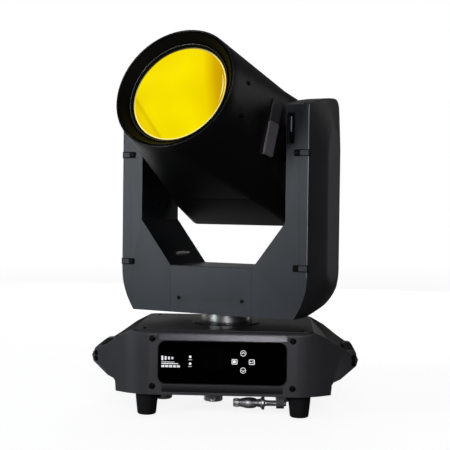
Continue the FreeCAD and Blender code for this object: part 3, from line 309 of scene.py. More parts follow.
# Near-black painted shade for recesses, slots and the gaps round tabs.
finish("recess_painted_shade", (0.0012, 0.0012, 0.0012), 0.5, specular=0.1)
finish("cover_tab_pad", (0.052, 0.055, 0.064), 0.42, 0.25, 1400)
# Painted highlights: thin light strips along yoke edges.
finish("plate_edge_painted_highlight", (0.62, 0.60, 0.64), 0.35)
finish("web_lip_painted_highlight", (0.11, 0.115, 0.125), 0.4)
finish("latch_blade_bright", (0.62, 0.62, 0.64), 0.3, metal=0.3)
# Printed marks and icons that glow: painted light.
finish("window_print_painted_glow", (0.78, 0.78, 0.80), 0.5, glow=0.70)
finish("button_print_painted_glow", (0.92, 0.92, 0.94), 0.5, glow=1.0)


# ---- mesh tools; every shape is built in millimetres in its body's own frame ----

SPREAD = {
    "x": lambda a, b, level: Vector((level, a, b)),
    "y": lambda a, b, level: Vector((a, level, b)),
    "z": lambda a, b, level: Vector((a, b, level)),
}
SAME_SPOT, SAME_PLANE = 0.005, math.radians(0.8)
new = bmesh.new


def lift(outline, level, axis="z", place=None):
    """An outline as points at one level of an axis."""
    points = [SPREAD[axis](a, b, level) for a, b in outline]
    return [place @ point for point in points] if place else points


def rect(left, low, right, high):
    return [(left, low), (right, low), (right, high), (left, high)]


def circle(radius, middle=(0, 0), count=32):
    return [(middle[0] + radius * math.cos(TAU * i / count),
             middle[1] + radius * math.sin(TAU * i / count)) for i in range(count)]


def square_outline(half_x, half_z, corner, middle=(0, 0), steps=10):
    """A rounded rectangle with the same number of points whatever its size."""
    points = []
    for turn, (i, j) in enumerate(((1, 1), (-1, 1), (-1, -1), (1, -1))):
        for k in range(steps + 1):
            angle = (turn + k / steps) * TAU / 4
            points.append((middle[0] + i * (half_x - corner) + corner * math.cos(angle),
                           middle[1] + j * (half_z - corner) + corner * math.sin(angle)))
    return points


def softened(corners, radius, steps=4):
    """An outline with short curves for corners; a corner's third value is its own radius."""
    result = []
    for i, corner in enumerate(corners):
        here = Vector(corner[:2])
        before = Vector(corners[i - 1][:2]) - here
        after = Vector(corners[(i + 1) % len(corners)][:2]) - here
        reach = min(corner[2] if len(corner) > 2 else radius, before.length * 0.48,
                    after.length * 0.48)
        start = here + before.normalized() * reach
        end = here + after.normalized() * reach
        for k in range(steps + 1):
            t = k / steps
            result.append(start * (1 - t) ** 2 + here * 2 * t * (1 - t) + end * t * t)
    return result


def skin(mesh, loops, wrap=False):
    """A skin over loops with the same count of points; wrap joins the last loop to the first."""
    rows = [[mesh.verts.new(point) for point in loop] for loop in loops]
    pairs = list(zip(rows, rows[1:]))
    if wrap:
        pairs.append((rows[-1], rows[0]))
    for near, far in pairs:
        for i in range(len(near)):
            k = (i + 1) % len(near)
            mesh.faces.new((near[i], near[k], far[k], far[i]))
    if not wrap:
        mesh.faces.new(rows[0][::-1])
        mesh.faces.new(rows[-1])
    return mesh


def turned(mesh, profile, axis="z", centre=(0, 0, 0), count=96, wrap=True, place=None):
    """A profile of (radius, distance) points turned about a line along an axis through centre."""
    place = place or Matrix.Translation(centre)
    return skin(mesh, [lift(circle(radius, count=count), level, axis, place)
                       for radius, level in profile], wrap)


def prism(mesh, outline, start, end, axis="z", place=None):
    """An outline carried between two levels of an axis."""
    return skin(mesh, [lift(outline, level, axis, place) for level in sorted((start, end))])


def cad_copy(node):
    """The mesh of a base CAD node in millimetres, with flat faces joined."""
    source = frame["nodes"][node]
    mesh = new()
    mesh.from_mesh(source.data)
    mesh.transform(BASE.inverted() @ source.matrix_world)
    bmesh.ops.remove_doubles(mesh, verts=mesh.verts, dist=SAME_SPOT)
    bmesh.ops.dissolve_limit(mesh, angle_limit=SAME_PLANE, verts=mesh.verts, edges=mesh.edges)
    return mesh


def piece(name, mesh, body, slot, stands_for=None, bevel=0.0, place=None, look=None):
    """Turn a mesh into an object that rides a body and may stand for a CAD node."""
    bmesh.ops.recalc_face_normals(mesh, faces=mesh.faces)
    mesh.transform(place or PLACE_OF.get(body, BASE))
    data = bpy.data.meshes.new(name)
    mesh.to_mesh(data)
    mesh.free()
    thing = bpy.data.objects.new(name, data)
    bpy.context.scene.collection.objects.link(thing)
    data.materials.append(LOOKS[look or slot])
    data.polygons.foreach_set("use_smooth", [True] * len(data.polygons))
    if bevel:
        round_edges(thing, bevel)
    else:
        data.set_sharp_from_angle(angle=math.radians(32))
    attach(thing, body)
    if stands_for:
        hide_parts(stands_for)
    return thing


def round_edges(thing, width, segments=2, angle=28):
    bevel = thing.modifiers.new("edges", "BEVEL")
    bevel.width = width * MM
    bevel.segments = segments
    bevel.limit_method = "ANGLE"
    bevel.angle_limit = math.radians(angle)
    bevel.harden_normals = True
    bevel.use_clamp_overlap = True
    bevel.miter_outer = "MITER_ARC"


def weigh_normals(thing):
    weighted = thing.modifiers.new("normals", "WEIGHTED_NORMAL")
    weighted.keep_sharp = True


# ---- fasteners ----

def facing(direction, spot):
    """A frame at spot whose +Z looks along direction."""
    turn = Vector(direction).to_track_quat("Z", "Y").to_matrix().to_4x4()
    return Matrix.Translation(spot) @ turn


def hexagon(radius, count=24):
    points = []
    for i in range(count):
        angle = TAU * i / count
        within = (angle + TAU / 12) % (TAU / 6) - TAU / 12
        reach = radius / math.cos(within) * math.cos(TAU / 12)
        points.append((reach * math.cos(angle), reach * math.sin(angle)))
    return points


def socket_screw(mesh, place, radius=3.6, height=1.8, washer=True):
    """A button-head screw with a hexagon socket, its seat at place and its head along +Z."""
    head = [(0.98, -1.0 / height), (1, 0.35), (0.93, 0.68), (0.80, 0.90), (0.62, 1), (0.56, 1)]
    loops = [lift(circle(radius * r, count=24), height * z, place=place) for r, z in head]
    loops += [lift(hexagon(radius * r), height * z, place=place)
              for r, z in ((0.55, 0.97), (0.53, 0.30))]
    skin(mesh, loops)
    if washer:
        ring = softened(rect(radius * 0.9, -0.2, radius * 1.22, 0.35), 0.15, 2)
        turned(mesh, ring, count=24, place=place)


def screws(name, body, spots, radius=3.6, height=1.8, washer=True, stands_for=None):
    mesh = new()
    for direction, spot in spots:
        socket_screw(mesh, facing(direction, spot), radius, height, washer)
    piece(name, mesh, body, "black_screw", stands_for)


# ---- head ----

SEAM_CORNER, RIM_CORNER, SHROUD_WALL = 42, 101, 3
LENS_RISE = 11


def square_loop(half, corner, y):
    return lift(square_outline(half, half, corner, steps=16), y, "y")


def barrel():
    """The front shroud: a round rim with a rolled edge that blends to a rounded square."""
    low, high = local_box("front_shroud", HEAD)
    rim, seam, half = low.y, high.y, high.x
    rim_half = half - 2

    def loop(y, inset=0.0):
        t = min(1.0, max(0.0, (y - rim) / (seam - rim)))
        size = rim_half + (half - rim_half) * t
        corner = RIM_CORNER + (SEAM_CORNER - RIM_CORNER) * t
        return square_loop(size - inset, corner - inset, y)

    steps = 10
    loops = [loop(rim + back, inset) for back, inset in
             ((1.6, SHROUD_WALL), (0.5, 2.6), (0.0, 1.8), (0.0, 0.9), (0.3, 0.3), (1.0, 0.0))]
    loops += [loop(rim + (seam - 4 - rim) * k / steps) for k in range(1, steps + 1)]
    loops += [loop(seam - back, inset) for back, inset in
              ((1.6, 0.0), (0.9, 0.5), (0.8, 2.6), (1.2, SHROUD_WALL))]
    loops.append(loop((rim + seam) / 2, SHROUD_WALL))
    piece("front_shroud_shell", skin(new(), loops, wrap=True), "head", "head_plastic",
          "front_shroud")

    seat = local_box("shroud_screws", HEAD)[1].x - 1.7
    forward, apart = -155, 28
    spots = [((i, 0, 0), (i * seat, forward, apart * j)) for i, j in CORNERS]
    screws("barrel_screws", "head", spots, washer=False, stands_for="shroud_screws")


def rear_housing():
    """The rear shroud: squarer than the barrel, tapered, with a framed grille in its back wall."""
    low, high = local_box("rear_shroud", HEAD)
    half, seam, end = high.x, low.y, high.y
    taper, rear_half, opening = end - 47, 80, 53
    barrel_half = half - 2.4
    blend, blend_drop, straight_end = 42, 2.3, 34
    front_corner, taper_corner, end_corner = 34, 18, 14

    def loop(y, inset=0.0):
        if y < taper:
            t = (y - seam) / (taper - seam)
            near = max(0.0, 1 - (y - seam) / blend)
            corner = (front_corner + (taper_corner - front_corner) * t
                      + (SEAM_CORNER - front_corner) * near)
            return square_loop(half - blend_drop * near - inset, corner - inset, y)
        t = (y - taper) / (end - taper)
        corner = taper_corner + (end_corner - taper_corner) * t
        return square_loop(half + (rear_half - half) * t - inset, corner - inset, y)

    loops = [square_loop(barrel_half - 0.6, SEAM_CORNER, seam + 0.4),
             square_loop(barrel_half - 0.1, SEAM_CORNER, seam)]
    loops += [loop(y) for y in (seam + 1.0, seam + 3.4, seam + 14, 8, straight_end,
                                (straight_end + taper) / 2, taper - 3)]
    loops += [loop(y, inset) for y, inset in
              ((taper - 0.5, 0.25), (taper + 2, 0.35), (end - 4, 0.0), (end - 1.5, 0.6),
               (end - 0.3, 2.0), (end, 4.0))]
    loops += [square_loop(opening + past, corner, end - back) for past, corner, back in
              ((5, 6.0, 0), (4, 6.0, 0), (1, 5.0, 0.8), (0, 5.0, 1.4), (0, 5.0, SHROUD_WALL))]
    loops += [loop(end - SHROUD_WALL, 2 * SHROUD_WALL), loop(taper, SHROUD_WALL),
              loop(seam + 3.6, SHROUD_WALL),
              square_loop(barrel_half - 2.4, SEAM_CORNER - 2, seam + 1.4)]
    piece("rear_shroud_shell", skin(new(), loops, wrap=True), "head", "head_plastic", "rear_shroud")

    bars = new()
    pitch, count = 12, 9
    slat = [(-3.2, -2.2), (-0.7, -0.6), (-0.5, 2.6), (-1.4, 3.4), (-3.4, 0.6)]
    for k in range(count):
        z = pitch * (k - (count - 1) / 2)
        outline = softened([(end + a, z + b) for a, b in slat], 0.5, 2)
        prism(bars, outline, -opening - 0.5, opening + 0.5, "x")
    for x in (-opening / 3, opening / 3):
        prism(bars, rect(end - 4.2, -opening, end - 3.0, opening), x - 1.5, x + 1.5, "x")
    piece("rear_grille_bars", bars, "head", "head_plastic")
    apart = 66
    spots = [((0, 1, 0), (apart * i, end - 0.2, apart * j)) for i, j in CORNERS]
    screws("rear_shroud_screws", "head", spots, 2.8, 0.2, False)


def seam_band():
    """The recessed dark strip between the two halves of the head."""
    y = local_box("rear_shroud", HEAD)[0].y
    half = local_box("front_shroud", HEAD)[1].x
    loops = [square_loop(half - inset, SEAM_CORNER - inset, y + shift)
             for inset, shift in ((0.8, -2.5), (0.8, 3.0), (3.4, 3.0), (3.4, -2.5))]
    piece("head_seam_strip", skin(new(), loops, wrap=True), "head", "hood_black")


def head_ring(name, profile, slot, stands_for=None, look=None, wrap=True):
    """A finely turned piece of the head, round the beam's axis."""
    mesh = turned(new(), profile, "y", count=144, wrap=wrap)
    piece(name, mesh, "head", slot, stands_for, look=look)


def hood():
    """The finely stepped light-trap cone from the rim down to the lens, with thin rings in painted
    highlight.
    """
    low, high = local_box("lens_hood_ring", HEAD)
    lens_low, lens_high = local_box("front_lens", HEAD)
    mouth, back, outer = low.y, high.y, high.x
    lip, face = lens_high.x - 4.5, lens_low.y + LENS_RISE
    start, end = outer - 1.6, lip + 5.5
    steps = 6

    def step(k):
        """The radius and the depth at which a step of the cone begins."""
        t = k / steps
        return start + (end - start) * t, mouth + 0.6 + (face - 4.2 - mouth) * t

    profile = [(outer, back), (outer, mouth + 1.0), (outer - 0.5, mouth + 0.3),
               (start, mouth + 0.2)]
    for k in range(steps):
        end_radius, end_y = step(k + 1)
        profile += [step(k), (end_radius + 0.35, end_y - 0.5), (end_radius + 0.1, end_y - 0.2)]
    profile += [(lip + a, face + b) for a, b in
                ((5.2, -3.2), (5.0, -4.4), (4.5, -5.0), (3.4, -5.0), (2.8, -4.6), (1.2, -2.4),
                 (0.2, -1.2), (0, -0.6), (0, 0))]
    profile += [(lens_high.x + 0.3, face), (lens_high.x + 0.3, back)]
    head_ring("lens_hood_cone", profile, "hood_black", "lens_hood_ring")

    # The retaining ring's light colour is a painted highlight, dimmed to one side.
    bright = softened([(lip + 4.6, face - 5.1), (lip + 4.0, face - 5.5), (lip + 3.4, face - 5.1)],
                      0.2, 2)
    head_ring("lens_retaining_ring_edge", bright, "hood_black", look="retaining_ring_painted_highlight")
    barrel_low, barrel_high = local_box("front_shroud", HEAD)
    rim, outside = barrel_low.y, barrel_high.x - 2
    # The barrel rim's lip line is a painted highlight, dimmed to one side.
    line = softened([(outside - 0.9, rim + 0.05), (outside - 0.15, rim + 0.05),
                     (outside + 0.05, rim + 1.4), (outside - 0.9, rim + 1.4)], 0.25, 2)
    head_ring("barrel_rim_painted_highlight", line, "head_plastic", look="barrel_rim_painted_highlight")


def lens():
    """The front lens: a polished dome, a rim ring in a glowing painted highlight, and a faint inner
    reflection.
    """
    low, high = local_box("front_lens", HEAD)
    face, back = low.y + LENS_RISE, high.y
    radius = high.x - 5.1
    bulge = (radius ** 2 + LENS_RISE ** 2) / (2 * LENS_RISE)

    def dome_y(reach):
        return face + bulge - LENS_RISE - math.sqrt(bulge ** 2 - reach ** 2)

    steps = 26
    reaches = [radius * max(0.004, 1 - (k / steps) ** 1.3) for k in range(steps + 1)]
    rim = [(high.x - 0.8, back), (high.x, back - 0.8), (high.x, face + 0.9), (high.x - 0.8, face),
           (radius + 0.9, face - 0.05), (radius + 0.3, face - 0.4)]
    head_ring("front_lens_dome", rim + [(reach, dome_y(reach)) for reach in reaches], "lens_glass",
              "front_lens", wrap=False)

    # The rim ring's glowing colour is a painted highlight, dimmed to one side.
    edge = softened([(radius - 0.2, face - 0.3), (radius + 0.4, face - 1.3),
                     (radius - 1.4, face - 0.95), (radius - 1.2, face - 0.3)], 0.3, 3)
    head_ring("front_lens_edge_highlight", edge, "lens_glass", look="lens_rim_painted_highlight")

    steps, loops, line = 24, [], radius - 4.6
    first_angle, sweep = -14, 38
    for k in range(steps + 1):
        angle = math.radians(first_angle + sweep * k / steps)
        wide = 0.9 * math.sin(math.pi * k / steps) + 0.05
        ridge = ((line - wide, -0.02), (line, -0.28), (line + wide, -0.02))
        loops.append([Vector((reach * math.cos(angle), dome_y(reach) + raised,
                              reach * math.sin(angle))) for reach, raised in ridge])
    piece("front_lens_inner_reflection", skin(new(), loops), "head", "lens_glass",
          look="lens_inner_reflection")


def side_straps():
    """A strap on each flat side of the barrel: a grey lower length, lightened by a painted
    reflection, and an upper length painted darker as shade.
    """
    for side, node in zip(SIDES, ("side_band_left", "side_band_right")):
        low, high = local_box(node, HEAD)
        inner, outer = (low.x, high.x) if side > 0 else (high.x, low.x)
        lit_share, rise = 0.58, 9
        split = low.z + (high.z - low.z) * lit_share
        outline = softened([(low.y + 1, low.z), (high.y - 2, low.z + 7), (high.y, low.z + 10),
                            (high.y, split + rise), (low.y, split)], 1.0, 3)
        mesh = prism(new(), outline, inner - 0.4 * side, outer, "x")
        piece(node + "_strap", mesh, "head", "band_grey", node, 0.6)
        outline = softened([(low.y, split + 0.6), (high.y, split + rise + 0.6),
                            (high.y, high.z - 3), (high.y - 3, high.z), (low.y + 3, high.z),
                            (low.y, high.z - 3)], 1.5, 3)
        mesh = prism(new(), outline, inner - 0.4 * side, outer - 0.5 * side, "x")
        piece(node + "_upper_painted_shade", mesh, "head", "band_grey", bevel=0.6, look="strap_upper_painted_shade")
        ribs = new()
        for k in range(3):
            z = low.z + 14 + 5 * k
            prism(ribs, softened(rect(low.y + 8, z, high.y - 8, z + 1.6), 0.7, 2),
                  outer - 0.4 * side, outer + 0.35 * side, "x")
        piece(node + "_ribs", ribs, "head", "band_grey", bevel=0.15)


def hubs():
    """Each hub with a stepped collar where it leaves the barrel, and its trunnion in the arm."""
    high = local_box("tilt_hubs", HEAD)[1]
    hub_start, hub_end, hub, trunnion, bore = 92, 133, high.z, 22, 12
    groove = [(hub, 118), (hub - 0.8, 118.4), (hub - 0.8, 119.6), (hub, 120)]
    profile = [(bore, hub_start), (hub, hub_start)] + groove
    profile += [(hub, hub_end - 1), (hub - 1, hub_end), (trunnion, hub_end),
                (trunnion, high.x - 0.8), (trunnion - 0.8, high.x), (bore, high.x)]
    mesh = turned(new(), profile, "x")
    turned(mesh, [(radius, -level) for radius, level in profile], "x")
    piece("tilt_hub_castings", mesh, "head", "black_casting", "tilt_hubs", look="hood_black")


def fan():
    """A seven-blade fan with pitched, curved blades on a domed hub."""
    low, high = local_box("cooling_fan", HEAD)
    middle, half = (low.y + high.y) / 2, 7.6
    dome = [(13, -half), (13, half - 2), (12, half - 0.6), (9, half), (3.2, half), (3.2, -half)]
    mesh = turned(new(), [(radius, middle + y) for radius, y in dome], "y", count=48)
    blades, rows, across = 7, 6, 5
    root, tip_gap, root_pitch, untwist, root_chord, widening = 12.5, 0.7, 52, 22, 17, 4
    for blade in range(blades):
        grid = []
        for i in range(rows + 1):
            radius = root + (high.x - root - tip_gap) * i / rows
            pitch = math.radians(root_pitch - untwist * i / rows)
            chord = root_chord + widening * i / rows
            for k in range(across + 1):
                t = k / across - 0.5
                swing = chord * t * math.cos(pitch) / radius + 0.05 * i
                angle = TAU * blade / blades + swing
                y = middle + chord * t * math.sin(pitch) * 0.55 + 1.2 * (t * t - 0.25)
                grid.append(mesh.verts.new((radius * math.cos(angle), y, radius * math.sin(angle))))
        for i in range(rows):
            for k in range(across):
                a = i * (across + 1) + k
                mesh.faces.new((grid[a], grid[a + 1], grid[a + across + 2], grid[a + across + 1]))
    piece("cooling_fan_rotor", mesh, "cooling_fan", "fan_plastic", "cooling_fan", place=HEAD)


# ---- yoke ----

ARM_DEPTH, ARM_SEAM, ARM_INNER = 61, 175.0, 136
HUB_LEVEL, TAB_LEVELS = 407.4, (204.4, 388.6)
COVER_LOW, COVER_HIGH = local_box("side_cover_right", YOKE)
COVER_BOTTOM, COVER_DEPTH = COVER_LOW.z, COVER_HIGH.y - 2
HAUNCH = (Matrix.Translation(Vector((-91.54, 0, 219.24)))
          @ Matrix.Rotation(math.radians(52.4), 4, "Y"))


def corner_drop(z):
    """How far the arm's lower outer corner is set in at a height."""
    tall, deepest = 70, 23.5
    rise = max(0.0, min(1.0, 1 - (z - COVER_BOTTOM) / tall))
    return deepest * rise ** 2.1


def bulge_at(y, z):
    """How far the cover stands out from the arm: crowned, but cut flat along its middle strip."""
    strip_y, upper_start, lower_tall, cut = 5, 395, 78, 1.227
    off_middle = abs(y - strip_y) / (COVER_DEPTH + strip_y)
    crown = cut * (1 - min(1.0, off_middle) ** 1.6)
    top_fall = max(0.0, (z - upper_start) / (COVER_HIGH.z - upper_start)) ** 1.61 * 0.80
    low_fall = max(0.0, 1 - (z - COVER_BOTTOM) / lower_tall) ** 1.5 * 0.95
    return (COVER_HIGH.x - ARM_SEAM) * min(1.0, crown * (1 - top_fall) * (1 - low_fall))


def arm_top_at(y):
    """The height of an arm's top edge: sloped at the front and rounded at the rear."""
    slope_end, round_start = -17, 40
    front, middle, top, rounding = 466, 477, 483, 13
    if y < slope_end:
        t = (y + ARM_DEPTH) / (ARM_DEPTH + slope_end)
        return front + (middle - front) * (1 - (1 - t) ** 1.4)
    if y < round_start:
        turn = (y - slope_end) / (round_start - slope_end) * TAU / 4
        return middle + (top - middle) * math.sin(turn)
    share = (y - round_start) / (ARM_DEPTH - round_start)
    return top - rounding * (1 - math.sqrt(max(0.0, 1 - share ** 2)))


def cover_bottom_at(y):
    """The lower edge climbs towards the rear, as the cover's rear foot is cut away."""
    climb_start, bend, slow_climb, fast_climb = -13, 29, 19, 29.5
    if y < bend:
        return COVER_BOTTOM + slow_climb * max(0.0, (y - climb_start) / (bend - climb_start))
    return COVER_BOTTOM + slow_climb + fast_climb * (y - bend) / (ARM_DEPTH - bend)


def side_cover(side):
    """A crowned plastic cover with a flat middle strip, wrapped round the outside of an arm."""
    columns, rows, wrapped = 36, 72, 9
    grid = []
    for i in range(rows + 1):
        t = i / rows
        line = []
        for k in range(columns + 1):
            y = -COVER_DEPTH + 2 * COVER_DEPTH * k / columns
            low, high = cover_bottom_at(y), arm_top_at(y)
            z = low + (high - low) * (t - 0.06 * math.sin(TAU * t))
            line.append(Vector((side * (ARM_SEAM - corner_drop(z) + bulge_at(y, z)), y, z)))
        line.insert(0, line[0] + Vector((0, 0.02, 0)) - Vector((side * 0.5, 0, 0)))
        line.append(line[-1] - Vector((side * 0.5, 0.02, 0)))
        grid.append(line)
    grid.append([point + Vector((-side * wrapped, 0, 0)) for point in grid[-1]])
    mesh = new()
    made = [[mesh.verts.new(point) for point in line] for line in grid]
    for near, far in zip(made, made[1:]):
        for k in range(len(near) - 1):
            mesh.faces.new((near[k], near[k + 1], far[k + 1], far[k]))
    bmesh.ops.recalc_face_normals(mesh, faces=mesh.faces)
    outward = sum(face.normal.x * face.calc_area() for face in mesh.faces) * side
    if outward < 0:
        bmesh.ops.reverse_faces(mesh, faces=mesh.faces)
    name = "side_cover_right" if side > 0 else "side_cover_left"
    thing = piece(name + "_shell", mesh, "yoke", "cover_plastic", name)
    thing.data.set_sharp_from_angle(angle=math.radians(12))
    wall = thing.modifiers.new("wall", "SOLIDIFY")
    wall.thickness = 2.4 * MM
    wall.offset = -1
    round_edges(thing, 0.9, 3, 40)

    tabs, pads = new(), new()
    start, pad_start, tip = 150.5, 160.8, 177.0 if side > 0 else 175.4
    for z in TAB_LEVELS:
        low, high = z - 5.5, z + 5.5
        for end in SIDES:
            front = (COVER_DEPTH + 1.9) * end
            outline = softened([(side * start, low, 2.5), (side * start, high, 2.5),
                                (side * tip, high, 0.8), (side * tip, low, 0.8)], 1.0, 4)
            prism(tabs, outline, front, (COVER_DEPTH - 0.5) * end, "y")
            outline = rect(side * (tip - 2.4), low, side * (tip + 0.2), high)
            prism(tabs, softened(outline, 0.5, 2), front, (COVER_DEPTH - 7) * end, "y")
            outline = rect(side * pad_start, z - 4.1, side * (tip - 0.9), z + 4.1)
            prism(pads, softened(outline, 1.0, 3), (COVER_DEPTH + 2.25) * end,
                  (COVER_DEPTH + 1.6) * end, "y")
    # The tabs are coloured near-black as painted shade, drawing a dark outline round the pads.
    piece(name + "_tabs", tabs, "yoke", "cover_plastic", bevel=0.5, look="recess_painted_shade")
    piece(name + "_tab_pads", pads, "yoke", "cover_plastic", bevel=0.3, look="cover_tab_pad")


def yoke_details():
    """The yoke's screws, and painted highlights along the edge of each front plate and the web's
    top lip.
    """
    spots = []
    for end in SIDES:
        for side in SIDES:
            spots += [((0, end, 0), (155.5 * side, 63 * end, z)) for z in TAB_LEVELS]
            spots.append(((0, end, 0), (60 * side, 61 * end, 146.4)))
    screws("yoke_button_screws", "yoke", spots, 3.4, 1.8, False, "yoke_screws")

    edge = new()
    # The painted highlight on the plate edges starts at 190 mm, above which the plates catch the
    # light.
    start, end, steps = 190.0, 465.0, 40
    heights = [start + (end - start) * k / steps for k in range(steps + 1)]
    for side in SIDES:
        skin(edge, [lift(circle(0.6, (side * (ARM_SEAM - corner_drop(z) - 0.35), -61.05), 8), z)
                    for z in heights])
    piece("arm_plate_edge_highlights", edge, "yoke", "yoke_paint", look="plate_edge_painted_highlight")
    lip_outline = circle(0.55, (-60.9, 200.75), 8)
    lit = skin(new(), [lift(lip_outline, x, "x") for x in (-77.2, -40, 0, 40, 77.2)])
    piece("web_top_edge_highlight", lit, "yoke", "yoke_paint", look="web_lip_painted_highlight")


def tilt_lock():
    """The tilt lock: a bezel round its slot and a ribbed slide, both near-black as painted shade,
    and a bright blade.
    """
    low, high = local_box("tilt_lock_latch", YOKE)
    outer = softened(rect(137.2, 403.2, 150.6, 452.6), 1.5, 3)
    inner = softened(rect(138.4, 404.4, 149.4, 451.4), 1.0, 3)
    loops = [lift(outline, level, "y") for outline, level in
             ((outer, -61.0), (outer, -61.5), (inner, -61.5), (inner, -58.6))]
    # The bezel is near-black: painted shade in the slot.
    piece("tilt_lock_bezel", skin(new(), loops, wrap=True), "yoke", "black_sheet", bevel=0.15,
          look="recess_painted_shade")

    slide = prism(new(), rect(139.5, -57.4, 149.2, -55.0), low.z, high.z)
    for k in range(4):
        z = low.z + 15 + 2.2 * k
        prism(slide, rect(139.7, -57.8, 142.0, -57.3), z, z + 1.1)
    # The slide is near-black: painted shade in the recess.
    piece("tilt_lock_slide", slide, "tilt_lock_latch", "latch_silver", "tilt_lock_latch", 0.3, YOKE,
          "recess_painted_shade")
    outline = softened(rect(143.0, low.z + 24, 144.3, high.z - 10), 0.6, 3)
    piece("tilt_lock_blade", prism(new(), outline, low.y, -56.8, "y"), "tilt_lock_latch",
          "latch_silver", None, 0.25, YOKE, "latch_blade_bright")


def pan_lock():
    """The pan lock's finger bar in its slotted plate on the left haunch."""
    mesh = new()
    outline = softened([(0.2, 0.6, 0.5), (3.4, 0.6, 0.5), (3.4, 4.4, 1.0), (0.2, 4.4, 1.0)], 1, 4)
    loops = []
    for y, inset in ((-21, 1.0), (-20.2, 0.2), (-19.4, 0.0), (19.4, 0.0), (20.2, 0.2), (21, 1.0)):
        narrowed = [(1.8 + (a - 1.8) * (1 - inset / 5), 2.5 + (b - 2.5) * (1 - inset / 4))
                    for a, b in outline]
        loops.append(lift(narrowed, y, "y", HAUNCH))
    skin(mesh, loops)
    prism(mesh, rect(-2.4, -11.5, 2.4, 11.5), -6, 1.2, "z", HAUNCH)
    piece("pan_lock_finger_bar", mesh, "pan_lock_lever", "latch_silver", "pan_lock_lever",
          place=YOKE)

    slot = softened(rect(-3.0, -20.5, 3.0, 20.5), 2.8, 5)
    outside = softened(rect(-6.0, -24, 6.0, 24), 4.5, 5)
    trim = skin(new(), [lift(outline, level, "z", HAUNCH) for outline, level in
                        ((slot, -2.6), (slot, 0.35), (outside, 0.35), (outside, -0.4))])
    bmesh.ops.delete(trim, geom=[f for f in trim.faces if len(f.verts) > 4], context="FACES_ONLY")
    piece("pan_lock_slot_trim", trim, "yoke", "black_sheet")


def inner_arm_details():
    """Rivets on the arms' inner walls and a trim ring round each hub's opening."""
    mesh = new()
    rivet = [(0.6, 1.3), (1.6, 1.1), (2.6, 0.5), (3.0, 0.0), (3.0, -1.0)]
    spots = [(-1, -22, 300), (-1, -22, 312), (-1, 24, 300)]
    spots += [(i, 40 * j, 372) for i, j in CORNERS]
    for side, y, z in spots:
        place = facing((-side, 0, 0), (ARM_INNER * side, y, z))
        turned(mesh, rivet, count=20, wrap=False, place=place)
    piece("arm_inner_rivets", mesh, "yoke", "black_screw")
    ring = new()
    for side in SIDES:
        profile = softened([(33, 134.4 * side), (37.5, 134.4 * side), (38.5, 136.2 * side),
                            (33, 136.2 * side)], 0.5, 3)
        turned(ring, profile, "x", (0, 0, HUB_LEVEL))
    piece("hub_opening_rings", ring, "yoke", "black_sheet")


def pan_collar():
    """The bright turned collar under the yoke, over the pan shaft and its belt wheel."""
    low, high = local_box("pan_shaft", YOKE)
    collar, bottom, top, bore, tube = 43.3, 105.1, high.z, 29, 32
    wheel, belt_low, belt_high = high.x, 62, 74
    profile = [(bore, low.z), (wheel - 0.6, low.z), (wheel, low.z + 0.5), (wheel, belt_low - 0.5),
               (wheel - 2, belt_low - 0.5), (wheel - 2, belt_high + 0.5), (wheel, belt_high + 0.5),
               (wheel, belt_high + 1.5), (wheel - 0.6, belt_high + 2), (tube, belt_high + 2),
               (tube, bottom), (collar - 1.2, bottom), (collar - 0.3, bottom + 0.3),
               (collar, bottom + 1.0), (collar, bottom + 4.4), (collar - 0.5, bottom + 4.7),
               (collar - 0.5, bottom + 5.5), (collar, bottom + 5.8), (collar, top - 1.6),
               (collar - 0.8, top - 0.9), (collar - 0.8, top), (bore, top)]
    piece("pan_shaft_turned", turned(new(), profile, count=144), "yoke", "bright_steel",
          "pan_shaft", look="turned_steel")


# ---- base ----

FLAT_HALF, BEND_RUN, PLATE, FRONT = 140, 26, 9, 132.3
SWEEP = math.radians(37.5)
FRAME_SCREWS = [(112 * side, z) for side in SIDES for z in (13.6, 89.5)]


def plan_line(x):
    """How far the end plate's straight-line plan falls back from its flat front."""
    return max(0.0, (abs(x) - FLAT_HALF) * math.tan(SWEEP))


def bend_ease(x):
    """How far the wide rolled bend lies behind the two straight lines of the plan."""
    start, end = FLAT_HALF - BEND_RUN, FLAT_HALF + BEND_RUN * math.cos(SWEEP)
    if not start < abs(x) < end:
        return 0.0
    radius = BEND_RUN / math.tan(SWEEP / 2)
    return radius - math.sqrt(radius ** 2 - (abs(x) - start) ** 2) - plan_line(x)


def end_frame(node):
    """A copy of a CAD end plate with widely rolled bends and finely broken edges."""
    mesh = cad_copy(node)
    front = max(abs(vert.co.y) for vert in mesh.verts)
    steps = 16
    for side in SIDES:
        for k in range(steps + 1):
            x = FLAT_HALF - BEND_RUN + BEND_RUN * (1 + math.cos(SWEEP)) * k / steps
            bmesh.ops.bisect_plane(mesh, geom=mesh.verts[:] + mesh.edges[:] + mesh.faces[:],
                                   plane_co=(x * side, 0, 0), plane_no=(1, 0, 0))
    for vert in mesh.verts:
        depth = front - plan_line(vert.co.x) - abs(vert.co.y)
        share = min(1.0, max(0.0, 1 - depth / PLATE))
        vert.co.y -= math.copysign(bend_ease(vert.co.x) * share, vert.co.y)
    thing = piece(node + "_rolled", mesh, "base", "black_casting", node, 1.1)
    # Inner faces beside the bends get a lighter material: a painted reflection.
    thing.data.materials.append(LOOKS["frame_inner_painted_sheen"])
    for face in thing.data.polygons:
        inward = -face.normal.y * math.copysign(1, face.center.y)
        if inward > 0.6 and abs(face.center.x) > (FLAT_HALF - 4) * MM:
            face.material_index = 1
    weigh_normals(thing)


def front_lip(name, columns, curve, front, look):
    """A curved strip on the front plate; curve gives the (y, z) points for a column's inset."""
    loops = []
    for x, inset in columns:
        loop = [Vector((x, y, z)) for y, z in curve(inset)]
        loop += [Vector((x, front + 2, loop[-1].z)), Vector((x, front + 2, loop[0].z))]
        loops.append(loop)
    piece(name, skin(new(), loops), "base", "black_casting", bevel=0.3, look=look)


